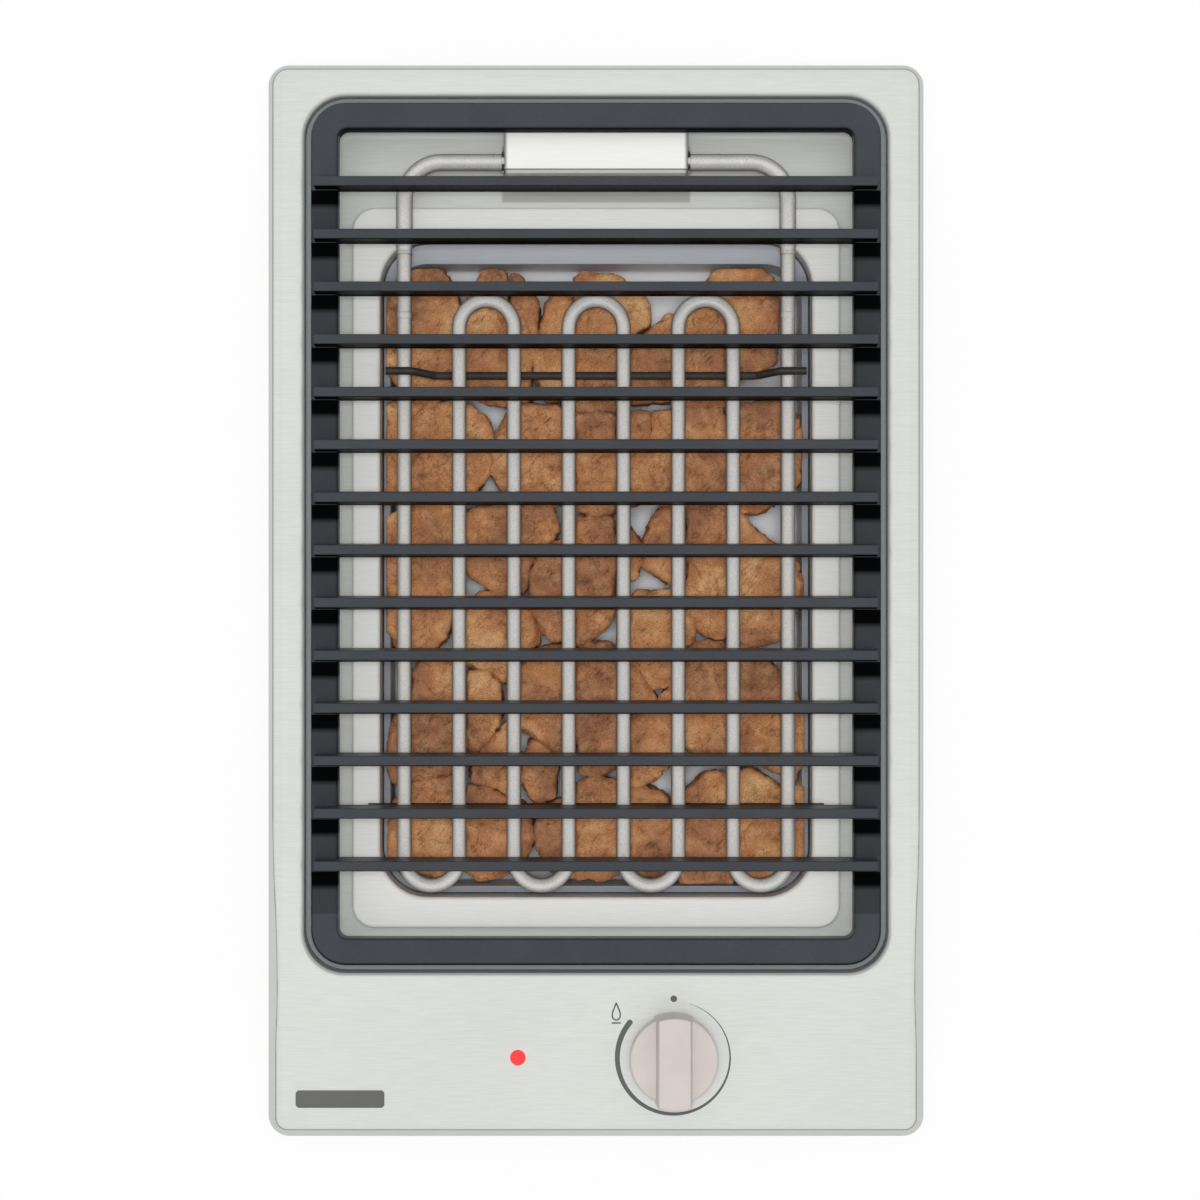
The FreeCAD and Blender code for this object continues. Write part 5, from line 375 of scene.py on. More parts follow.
@dataclass(frozen=True)
class PlateSteel(BrushedSteel):
    """The top plate's sheet, with painted shade on its bends and ledge and the pivot cover's
    painted shadow on the well's floor.
    """

    edge_side: float = 0.1485
    edge_front: float = 0.2475
    edge_soft: float = 0.001
    # Painted shade on the bends, by how far each face points up: on the outer edge, at the well's
    # mouth and on the well's back wall.
    edge_shade_stops: Shades = (
        (0.02, 0.8), (0.4, 0.9), (0.52, 1.0), (0.58, 0.62), (0.74, 0.68), (0.86, 0.99),
    )
    mouth_shade_stops: Shades = (
        (0.02, 0.8), (0.4, 0.92), (0.52, 1.0), (0.58, 0.88), (0.74, 0.9), (0.86, 1.0),
    )
    back_wall_shade_stops: Shades = ((0.0, 0.9), (0.3, 1.0))
    # Painted shade on the ledge: between these heights the plate is darker and bluer.
    ledge: Flat = (0.1060, 0.1092)
    ledge_soft: float = 0.0006
    ledge_shade_tone: Colour = (186.0, 191.0, 200.0)
    # The pivot cover's painted shadow on the well's floor: half width, span along, the floor's top,
    # soft edges and tone.
    cover_shadow_half: float = 0.0449
    cover_shadow_length: Flat = (0.1940, 0.2200)
    cover_shadow_top: float = 0.0885
    cover_shadow_soft: Point = (0.0014, 0.0012, 0.0004)
    cover_shadow_tone: Colour = (208.0, 204.0, 201.0)

    def tints(self, nodes: Nodes) -> list[Socket]:
        """Return the painted shade of the bends and the ledge, and the pivot cover's painted shadow
        on the well's floor.

        Args:
            nodes: the node tree.

        Returns:
            The three tints.
        """
        own, place = nodes.axes(Own.NORMAL), nodes.axes()
        # Painted shade of the bends, by their facing.
        to_front = nodes.spread(own["Y"], 1.0, 0.0, -0.5, -0.2)
        mouth = nodes.shades(own["Z"], *self.mouth_shade_stops)
        mouth = nodes.mixed(to_front, mouth, nodes.shades(own["Z"], *self.back_wall_shade_stops))
        edges = nodes.shades(own["Z"], *self.edge_shade_stops)
        bend_shade = nodes.mixed(self.outer(nodes, place), mouth, edges)
        # Painted shade on the ledge.
        ledge = nodes.within(place["Z"], *self.ledge, self.ledge_soft)
        # Painted shadow of the pivot cover on the well's floor.
        across = nodes.within(place["X"], -self.cover_shadow_half, self.cover_shadow_half, self.cover_shadow_soft[0])
        along = nodes.within(place["Y"], *self.cover_shadow_length, self.cover_shadow_soft[1])
        top = self.cover_shadow_top
        low = nodes.spread(place["Z"], 1.0, 0.0, top, top + self.cover_shadow_soft[2])
        cover_shadow = nodes.maths(Op.TIMES, across, along, low)
        spots = ((ledge, self.ledge_shade_tone), (cover_shadow, self.cover_shadow_tone))
        return [bend_shade, *(nodes.ramp(spot, (0.0, WHITE), (1.0, tone)) for spot, tone in spots)]

    def outer(self, nodes: Nodes, place: dict[str, Socket]) -> Socket:
        """Tell the plate's turned-down edge from what lies inside it.

        Args:
            nodes: the node tree.
            place: the object's own coordinates.

        Returns:
            1 on the edge and 0 inside it.
        """
        shares = []
        for axis, edge in (("X", self.edge_side), ("Y", self.edge_front)):
            square = nodes.maths(Op.TIMES, place[axis], place[axis])
            reach = nodes.maths(Op.POWER, square, 0.5)
            shares.append(nodes.spread(reach, 0.0, 1.0, edge, edge + self.edge_soft))
        return nodes.maths(Op.LARGER, *shares)


@dataclass(frozen=True)
class PanSteel(BrushedSteel):
    """The stone pan's sheet, with painted shade on its rim, darker near the crease at the rim's
    inner edge and lighter towards the back, and a painted shade line along that crease.
    """

    roughness: float = 0.46
    contrast: float = 6.0
    patches: float = 6.0
    metal: float = 0.06
    rim_low: float = 0.0755
    rim_soft: float = 0.0008
    rim_length: float = 0.02
    # Painted shade of the rim, from dark at the crease to light towards the back.
    rim_shade_stops: Stops = (
        (0.0, (150.0, 154.0, 160.0)), (0.5, (178.0, 182.0, 187.0)), (1.0, (206.0, 208.0, 210.0)),
    )
    crease: float = 0.1553
    crease_half: float = 0.0005
    crease_soft: float = 0.0003
    crease_shade: float = 0.7

    def tints(self, nodes: Nodes) -> list[Socket]:
        """Return the painted shade of the rim and the painted shade line along its crease.

        Args:
            nodes: the node tree.

        Returns:
            The two tints.
        """
        place, crease = nodes.axes(), self.crease
        # Painted shade on the rim, above its low edge.
        rim = nodes.spread(place["Z"], 0.0, 1.0, self.rim_low, self.rim_low + self.rim_soft)
        back = nodes.spread(place["Y"], 0.0, 1.0, crease, crease + self.rim_length)
        rim_shade = nodes.mixed(rim, linear(WHITE), nodes.ramp(back, *self.rim_shade_stops))
        half, soft = self.crease_half, self.crease_soft
        # Painted shade line along the crease.
        line = nodes.within(place["Y"], crease - half, crease + half, soft)
        return [rim_shade, nodes.shades(line, (0.0, 1.0), (1.0, self.crease_shade))]


@dataclass(frozen=True)
class CoverSteel(BrushedSteel):
    """The pivot cover's sheet, with a painted shade line along the fold at its front and painted
    shade on its sideways-facing ends.
    """

    roughness: float = 0.34
    contrast: float = 3.0
    patches: float = 2.0
    metal: float = 0.15
    # Painted shade line along the fold at the front: its place, half width, soft edges and shade.
    fold: float = 0.2067
    fold_half: float = 0.00028
    fold_soft: float = 0.0003
    fold_shade: float = 0.62
    # Painted shade on the ends, by how far each face turns sideways.
    end_shade_stops: Shades = ((0.04, 1.0), (0.3, 0.82), (0.9, 0.66))

    def tints(self, nodes: Nodes) -> list[Socket]:
        """Return the painted shade of the ends and the painted shade line along the fold.

        Args:
            nodes: the node tree.

        Returns:
            The two tints.
        """
        sideways = nodes.axes(Own.NORMAL)["X"]
        # Painted shade on faces that turn sideways.
        end_shade = nodes.shades(nodes.maths(Op.TIMES, sideways, sideways), *self.end_shade_stops)
        low, high = self.fold - self.fold_half, self.fold + self.fold_half
        # Painted shade line along the fold.
        line = nodes.within(nodes.axes()["Y"], low, high, self.fold_soft)
        return [end_shade, nodes.shades(line, (0.0, 1.0), (1.0, self.fold_shade))]


@dataclass(frozen=True)
class CastIron(Finish):
    """Cast iron: fine grain, painted shade on the flanks turned from the light and towards the
    feet, and the bars' painted shadows on the rails.
    """

    roughness: float = 0.42
    gloss: Flat = (-0.08, 0.1)
    depth: float = 0.00006
    strength: float = 0.6
    grain_scale: float = 1600.0
    patch_scale: float = 45.0
    bar_front: float = field(kw_only=True)
    last_front: float = field(kw_only=True)
    bar_pitch: float = field(kw_only=True)
    bar_rise: float = field(kw_only=True)
    rail_top: float = field(kw_only=True)
    # Painted shade: the side that light falls from, and the shades from the foot to the top of a
    # flank turned away from it.
    lit_side: Point = (0.0, 0.72, 0.69)
    foot_shade: float = 0.012
    top_shade: float = 0.08
    foot_depth: float = 0.001
    # Painted shadows of the bars on the side rails: their darkness, length, soft ends and height,
    # and the painted shade of the rails between.
    bar_shadow: float = 0.03
    bar_shadow_length: float = 0.0078
    bar_shadow_fade: Flat = (0.0016, 0.0012)
    bar_shadow_height: Flat = (0.0002, 0.0006)
    rail_shade: float = 0.7

    def build(self, nodes: Nodes) -> None:
        """Paint shade on the front flanks and the feet, and the bars' shadows on the rails, over
        the grained iron.

        Args:
            nodes: the node tree.
        """
        place = nodes.metres()
        grain = nodes.noise(place, self.grain_scale, 4.0, 0.6)
        patches = nodes.noise(place, self.patch_scale)
        dark, light = self.shifted(-3), self.shifted(4)
        base = nodes.ramp(patches, (0.3, dark), (0.5, self.colour), (0.72, light))
        specks = nodes.shades(grain, (0.3, 214 / 255), (0.6, 1.0))
        # Painted shade: flanks facing away from the lit side darken, more so towards the feet, and
        # lose their gloss with it.
        entries = {0: nodes.own(Own.NORMAL), 1: self.lit_side}
        facing = nodes.add("VectorMath", entries, operation="DOT_PRODUCT").outputs["Value"]
        span = (self.rail_top - self.foot_depth, self.rail_top + self.bar_rise)
        height_shade = nodes.spread(nodes.axes()["Z"], self.foot_shade, self.top_shade, *span)
        flank_shades = nodes.maths(Op.LARGER, nodes.spread(facing, 0.0, 1.0, -0.4, 0.5), height_shade)
        shade = nodes.maths(Op.TIMES, flank_shades, self.bar_shadow_strips(nodes))
        gleam = nodes.maths(Op.TIMES, shade, 0.5)
        colour = nodes.tinted(base, specks, shade)
        self.grained(nodes, grain, grain, Base_Color=colour, Specular_IOR_Level=gleam)

    def bar_shadow_strips(self, nodes: Nodes) -> Socket:
        """Return the painted shadow that each bar casts on the side rails in front of it, and the
        painted shade of the rails between.

        Args:
            nodes: the node tree.

        Returns:
            The shade, 1 where there is no painted shade or shadow.
        """
        place, pitch = nodes.axes(), self.bar_pitch
        behind = nodes.maths(Op.PLUS, nodes.maths(Op.TIMES, place["Y"], -1.0), self.bar_front)
        since = nodes.maths(Op.PLUS, nodes.maths(Op.MODULO, behind, pitch), pitch)
        step = nodes.maths(Op.MODULO, since, pitch)
        start, end = self.bar_shadow_length - self.bar_shadow_fade[0], self.bar_shadow_length + self.bar_shadow_fade[1]
        # Painted shadow in front of each bar, fading into the rails' painted shade.
        fade = nodes.spread(step, self.bar_shadow, self.rail_shade, start, end)
        low, high = (self.rail_top + height for height in self.bar_shadow_height)
        above = nodes.spread(place["Z"], 0.0, 1.0, low, high)
        rows = nodes.within(place["Y"], self.last_front - pitch * 0.8, self.bar_front, 0.0001)
        return nodes.maths(Op.LARGER, fade, above, nodes.spread(rows, 1.0, 0.0, 0.4, 0.6))


@dataclass(frozen=True)
class LavaStone(Finish):
    """Brown lava stone: rust-coloured and sandy patches, fine grit, pores, dark lines of painted
    shade for cracks and painted shade in the hollows.
    """

    name: str = "lava_stone"
    colour: Colour = (206.0, 150.0, 108.0)
    roughness: float = 0.9
    depth: float = 0.0011
    strength: float = 0.9
    ground_scale: float = 30.0
    patch_scale: float = 150.0
    grit_scale: float = 1500.0
    pore_scale: float = 520.0
    crack_shade_scale: float = 48.0
    rust: Colour = (160.0, 108.0, 80.0)
    sand: Colour = (244.0, 200.0, 150.0)
    ground: Stops = (
        (0.34, (140.0, 98.0, 76.0)), (0.45, (186.0, 131.0, 97.0)),
        (0.55, (218.0, 154.0, 102.0)), (0.66, (250.0, 202.0, 146.0)),
    )
    grit: Stops = ((0.34, (172.0, 160.0, 150.0)), (0.5, (240.0, 238.0, 236.0)), (0.66, WHITE))
    pore: Stops = ((0.0, (110.0, 84.0, 70.0)), (0.12, WHITE))
    # Painted shade in the hollows, by the surface's curvature.
    hollow_shade: Stops = ((0.42, (112.0, 84.0, 68.0)), (0.49, (244.0, 243.0, 242.0)), (0.56, WHITE))
    # Painted shade lines for cracks.
    crack_shade: Shades = ((0.485, 1.0), (0.5, 0.6), (0.515, 1.0))

    def build(self, nodes: Nodes) -> None:
        """Lay grit, pores and painted-shade lines for cracks over two sizes of patches, and paint
        shade in the hollows.

        Args:
            nodes: the node tree.
        """
        place = nodes.metres()
        middle = nodes.noise(place, self.patch_scale, 5.0, 0.62)
        fine = nodes.noise(place, self.grit_scale, 4.0, 0.7)
        pores = nodes.cells(place, self.pore_scale)
        ground = nodes.ramp(nodes.noise(place, self.ground_scale), *self.ground)
        patches = nodes.ramp(middle, (0.3, self.rust), (0.5, self.colour), (0.7, self.sand))
        colour = nodes.mixed(0.42, ground, patches)
        # Painted shade: dark lines that stand for the shade in cracks.
        crack_shades = nodes.shades(nodes.noise(place, self.crack_shade_scale, 4.0, 0.55), *self.crack_shade)
        # Painted shade in the hollows, from the surface's curvature.
        edges = nodes.add("NewGeometry", {}).outputs["Pointiness"]
        for share, tint in (
            (0.8, nodes.ramp(fine, *self.grit)),
            (0.35, nodes.ramp(pores, *self.pore)),
            (0.5, crack_shades),
            (0.95, nodes.ramp(edges, *self.hollow_shade)),
        ):
            colour = nodes.mixed(share, colour, tint, Blend.MULTIPLY)
        nodes.surface(Base_Color=colour, Roughness=self.roughness, Specular_IOR_Level=0.2)
        parts = ((middle, 0.8), (fine, 0.3), (pores, 0.25))
        scaled = [nodes.maths(Op.TIMES, part, share) for part, share in parts]
        nodes.relief(nodes.maths(Op.PLUS, *scaled), self.depth, self.strength)


@dataclass(frozen=True)
class Moulding(Finish):
    """Moulded plastic, rubber or ceramic with a faint grain and slight unevenness."""

    grain_scale: float = 900.0
    patch_scale: float = 60.0

    def build(self, nodes: Nodes) -> None:
        """Lay the grain over slightly uneven colour.

        Args:
            nodes: the node tree.
        """
        place = nodes.metres()
        grain = nodes.noise(place, self.grain_scale, 3.0, 0.6)
        patches = nodes.noise(place, self.patch_scale, 2.0)
        base = nodes.ramp(patches, (0.3, self.shifted(-3)), (0.7, self.shifted(3)))
        self.grained(nodes, grain, grain, Base_Color=base)


@dataclass(frozen=True)
class HeatedSteel(Finish):
    """Steel tube or rod, dulled by heat, with soft bands of tone along it and painted shade on its
    flanks.
    """

    gloss: Flat = (-0.06, 0.08)
    depth: float = 0.00001
    strength: float = 0.6
    bands: Point = (70.0, 24.0, 70.0)
    grain_scale: float = 1500.0
    contrast: float = 8.0
    # Painted shade on flanks that face sideways.
    flank_shade: float = 0.36
    metal: float = 0.25

    def build(self, nodes: Nodes) -> None:
        """Lay bands and specks along the tube and paint shade on its flanks.

        Args:
            nodes: the node tree.
        """
        bands = nodes.noise(nodes.metres(self.bands), 1.0, 3.0, 0.6)
        fine = nodes.noise(nodes.metres(), self.grain_scale, 3.0, 0.6)
        dark, light = self.shifted(-self.contrast), self.shifted(self.contrast)
        base = nodes.ramp(bands, (0.3, dark), (0.5, self.colour), (0.7, light))
        specks = nodes.ramp(fine, (0.32, (232.0, 231.0, 229.0)), (0.6, WHITE))
        # Painted shade: the more a face turns from straight up, the darker it is.
        up, flank_shade = nodes.axes(Own.NORMAL)["Z"], self.flank_shade
        level = nodes.maths(Op.TIMES, up, up)
        flank_shades = nodes.shades(level, (0.0, flank_shade), (0.18, 0.5 + flank_shade / 2), (0.5, 0.96), (0.8, 1.0))
        colour = nodes.tinted(base, specks, flank_shades)
        self.grained(nodes, bands, fine, Base_Color=colour, Metallic=self.metal)


@dataclass(frozen=True)
class ZincSheet(Finish):
    """Zinc-coated sheet with its flat crystals of slightly different tone."""

    name: str = "zinc_sheet"
    colour: Colour = (172.0, 176.0, 178.0)
    gloss: Flat = (-0.07, 0.07)
    depth: float = 0.000006
    crystal_scale: float = 110.0
    stain_scale: float = 14.0

    def build(self, nodes: Nodes) -> None:
        """Give each crystal a tone and a gloss of its own, under faint stains.

        Args:
            nodes: the node tree.
        """
        place = nodes.metres()
        crystals = nodes.add("TexVoronoi", {"Vector": place, "Scale": self.crystal_scale})
        tone = nodes.add("SeparateColor", {"Color": crystals.outputs["Color"]}).outputs
        dark, light = self.shifted(-12), self.shifted(10)
        base = nodes.ramp(tone[0], (0.0, dark), (0.5, self.colour), (1.0, light))
        stains = nodes.noise(place, self.stain_scale, 4.0)
        stained = nodes.ramp(stains, (0.3, (226.0, 226.0, 224.0)), (0.65, WHITE))
        low, high = (self.roughness + step for step in self.gloss)
        nodes.surface(
            Base_Color=nodes.mixed(0.8, base, stained, Blend.MULTIPLY),
            Roughness=nodes.spread(tone[1], low, high, 0.0, 1.0),
            Metallic=1.0,
        )
        nodes.relief(tone[0], self.depth, self.strength)


@dataclass(frozen=True)
class BrightMetal(Finish):
    """Plated or plain small metal pieces, with fine scratches."""

    roughness: float = 0.28
    gloss: Flat = (-0.06, 0.1)
    depth: float = 0.000008
    strength: float = 0.6
    scratches: Point = (400.0, 400.0, 1800.0)

    def build(self, nodes: Nodes) -> None:
        """Scratch the metal finely.

        Args:
            nodes: the node tree.
        """
        fine = nodes.noise(nodes.metres(self.scratches), 1.0, 3.0, 0.6)
        base = nodes.ramp(fine, (0.3, self.shifted(-8)), (0.7, self.shifted(6)))
        self.grained(nodes, fine, fine, Base_Color=base, Metallic=1.0)


@dataclass(frozen=True)
class WovenSleeve(Finish):
    """Woven glass sleeve over the element's leads."""

    name: str = "woven_sleeve"
    colour: Colour = (226.0, 221.0, 206.0)
    roughness: float = 0.8
    depth: float = 0.0001
    strength: float = 0.8
    thread_scale: float = 900.0

    def build(self, nodes: Nodes) -> None:
        """Weave the threads.

        Args:
            nodes: the node tree.
        """
        entries = {"Vector": nodes.metres(), "Scale": self.thread_scale}
        threads = nodes.add("TexWave", entries, bands_direction="DIAGONAL").outputs["Fac"]
        base = nodes.ramp(threads, (0.1, self.shifted(-34)), (0.6, self.colour))
        nodes.surface(Base_Color=base, Roughness=self.roughness)
        nodes.relief(threads, self.depth, self.strength)


@dataclass(frozen=True)
class LitLens(Finish):
    """Clear red lens with the lamp lit behind it."""

    name: str = "lit_lens"
    colour: Colour = (255.0, 44.0, 44.0)
    roughness: float = 0.16
    depth: float = 0.00004
    facet_scale: float = 1400.0
    glow: float = 0.75

    def build(self, nodes: Nodes) -> None:
        """Let the lens glow in its facets.

        Args:
            nodes: the node tree.
        """
        facets = nodes.cells(nodes.metres(), self.facet_scale)
        dark = tuple(part * 0.8 for part in self.colour)
        face = nodes.ramp(facets, (0.0, self.colour), (0.8, dark))
        nodes.surface(Base_Color=face, Roughness=self.roughness)
        nodes.surface(Emission_Color=face, Emission_Strength=self.glow)
        nodes.relief(facets, self.depth, self.strength)


@dataclass(frozen=True)
class Ink(Finish):
    """Screen-printed ink, slightly uneven in its tone and gloss."""

    name: str = "printed_ink"
    colour: Colour = (84.0, 86.0, 82.0)
    roughness: float = 0.5
    gloss: Flat = (-0.05, 0.15)
    depth: float = 0.000006
    strength: float = 0.4
    grain_scale: float = 1400.0

    def build(self, nodes: Nodes) -> None:
        """Make the ink uneven.

        Args:
            nodes: the node tree.
        """
        grain = nodes.noise(nodes.metres(), self.grain_scale)
        base = nodes.ramp(grain, (0.35, self.colour), (0.7, self.shifted(8)))
        self.grained(nodes, grain, grain, Base_Color=base)


ZINC = ZincSheet()
PLATED = BrightMetal("plated_steel", (196.0, 198.0, 200.0))
BRASS = BrightMetal("contact_metal", (206.0, 178.0, 110.0))
CERAMIC = Moulding("seal_ceramic", (236.0, 231.0, 219.0), 0.7)


@dataclass
class Workshop:
    """What every sub-assembly needs: the frame's nodes and the finishes already made."""

    nodes: dict[str, bpy.types.Object]
    made: dict[str, bpy.types.Material] = field(default_factory=dict)

    def material(self, finish: Finish) -> bpy.types.Material:
        """Find a finish's material, or build it the first time.

        Args:
            finish: the finish.

        Returns:
            Its material.
        """
        if finish.name not in self.made:
            self.made[finish.name] = finish.material()
        return self.made[finish.name]

    def dress(self, finish: Finish, *names: str) -> None:
        """Give nodes of the frame a finish.

        Args:
            finish: the finish.
            names: the nodes' names.
        """
        for name in names:
            for slot in self.nodes[name].material_slots:
                slot.material = self.material(finish)
            log.info("%s is dressed in %s", name, finish.name)

    def piece(
        self, name: str, mesh: Mesh, finish: Finish, body: Body, slot: Slot
    ) -> bpy.types.Object:
        """Add a piece of the scene.

        Args:
            name: the piece's name.
            mesh: its mesh, in the frame's metres.
            finish: what it is dressed in.
            body: the body that it rides on.
            slot: a material slot's name; not used.

        Returns:
            The piece's object.
        """
        item = bpy.data.objects.new(name, mesh)
        bpy.context.scene.collection.objects.link(item)
        mesh.materials.clear()
        mesh.materials.append(self.material(finish))
        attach(item, body.value)
        log.info("%s has %d faces", name, len(mesh.polygons))
        return item


Looks = tuple[tuple[Finish, str], ...]


@dataclass
class SubAssembly:
    """A part of the cooktop: nodes of the frame in their finishes, and pieces of the scene."""

    shop: Workshop
    looks: Looks = ()

    def build(self) -> None:
        """Dress the frame's nodes, then add the pieces."""
        for finish, names in self.looks:
            self.shop.dress(finish, *names.split())
        self.add_pieces()

    def add_pieces(self) -> None:
        """Add the pieces of the scene; most sub-assemblies have none."""


def placed(data: bpy.types.ID, place: Point = (0.0, 0.0, 0.0)) -> bpy.types.Object:
    """Put a mesh, a camera or a lamp into the scene.

    Args:
        data: what is put there; the object takes its name.
        place: where it stands.

    Returns:
        The object.
    """
    item = bpy.data.objects.new(data.name, data)
    item.location = place
    bpy.context.scene.collection.objects.link(item)
    return item


def smoothed(mesh: Mesh, smooth: bool = True) -> Mesh:
    """Return a mesh with all its faces shaded smooth, or flat."""
    mesh.polygons.foreach_set("use_smooth", [smooth] * len(mesh.polygons))
    return mesh


def mesh_of(name: str, points: list[Point], faces: list[Face], smooth: bool = False) -> Mesh:
    """Make a mesh from points and faces.

    Args:
        name: the mesh's name.
        points: its corners.
        faces: its faces as corner numbers.
        smooth: whether its faces are shaded smooth.

    Returns:
        The mesh, with its normals turned outwards.
    """
    mesh = bpy.data.meshes.new(name)
    mesh.from_pydata(points, [], faces)
    shaper = bmesh.new()
    shaper.from_mesh(mesh)
    bmesh.ops.recalc_face_normals(shaper, faces=shaper.faces)
    shaper.to_mesh(mesh)
    shaper.free()
    return smoothed(mesh, smooth)


def solids_of(mesh: Mesh) -> list[Solid]:
    """Split a mesh into its separate solids.

    Args:
        mesh: the mesh.

    Returns:
        The corners and the faces of each solid.
    """
    shaper = bmesh.new()
    shaper.from_mesh(mesh)
    bmesh.ops.remove_doubles(shaper, verts=shaper.verts, dist=WELD)
    solids, left = [], dict.fromkeys(shaper.verts)
    while left:
        group = [left.popitem()[0]]
        for corner in group:
            for other in (link.other_vert(corner) for link in corner.link_edges):
                if other in left:
                    del left[other]
                    group.append(other)
        order = {corner: index for index, corner in enumerate(group)}
        sides = [face.verts for face in shaper.faces if face.verts[0] in order]
        faces = [tuple(order[corner] for corner in side) for side in sides]
        solids.append(([tuple(corner.co) for corner in group], faces))
    shaper.free()
    return solids


def on_circle(centre: Flat, radius: float, turn: float) -> Flat:
    """Return the point of a circle at a turn in radians."""
    return (centre[0] + radius * math.cos(turn), centre[1] + radius * math.sin(turn))


def ring_faces(rings: int, count: int) -> list[Face]:
    """Join closed rings of points by faces.

    Args:
        rings: how many rings follow each other.
        count: how many points each ring has.

    Returns:
        The faces as point numbers.
    """
    faces = []
    for ring in range(rings - 1):
        for step in range(count):
            here, after = ring * count + step, ring * count + (step + 1) % count
            faces.append((here, after, after + count, here + count))
    return faces


def ribbon_faces(steps: int) -> list[Face]:
    """Return the faces between pairs of points that follow each other in steps."""
    return [(2 * step, 2 * step + 1, 2 * step + 3, 2 * step + 2) for step in range(steps)]


@dataclass
class TopPlate(SubAssembly):
    """The pressed plate with its bare badge plate."""

    looks: Looks = ((PlateSteel("plate_steel", (210.0, 212.0, 207.0)), "top_plate"),)
    badge_finish: Moulding = Moulding("badge_coat", (92.0, 93.0, 90.0), 0.4)
    badge_centre: Flat = (-0.1212, -0.2360)
    badge_size: Flat = (0.0420, 0.0082)
    badge_thickness: float = 0.0006
    badge_corner: float = 0.0018
    badge_bevel: float = 0.00035
    badge_sink: float = 0.0001
    panel_rise: float = 0.0340
    corner_steps: int = 6

    def add_pieces(self) -> None:
        """Add the badge plate."""
        mesh = self.badge_mesh()
        self.shop.piece("badge_plate", mesh, self.badge_finish, Body.HOB, Slot.PLATE)

    def badge_mesh(self) -> Mesh:
        """Make the bare badge plate: a thin rounded plate with a bevelled edge.

        Returns:
            The plate's mesh.
        """
        x, y = self.badge_centre
        half_w, half_l = self.badge_size[0] / 2, self.badge_size[1] / 2
        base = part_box("top_plate")[0].z + self.panel_rise
        shoulder, top = base + self.badge_thickness * 0.6, base + self.badge_thickness
        rings = ((0.0, base - self.badge_sink), (0.0, shoulder), (self.badge_bevel, top))
        points: list[Point] = []
        steps = self.corner_steps
        for inset, z in rings:
            corner = self.badge_corner - inset * 0.6
            for quarter, (sx, sy) in enumerate(((1, 1), (-1, 1), (-1, -1), (1, -1))):
                centre = (x + sx * (half_w - inset - corner), y + sy * (half_l - inset - corner))
                for step in range(steps + 1):
                    turn = math.pi / 2 * (quarter + step / steps)
                    points.append((*on_circle(centre, corner, turn), z))
        count = 4 * (steps + 1)
        end_shade = [tuple(range(2 * count, 3 * count)), tuple(reversed(range(count)))]
        return mesh_of("badge_plate", points, end_shade + ring_faces(3, count))


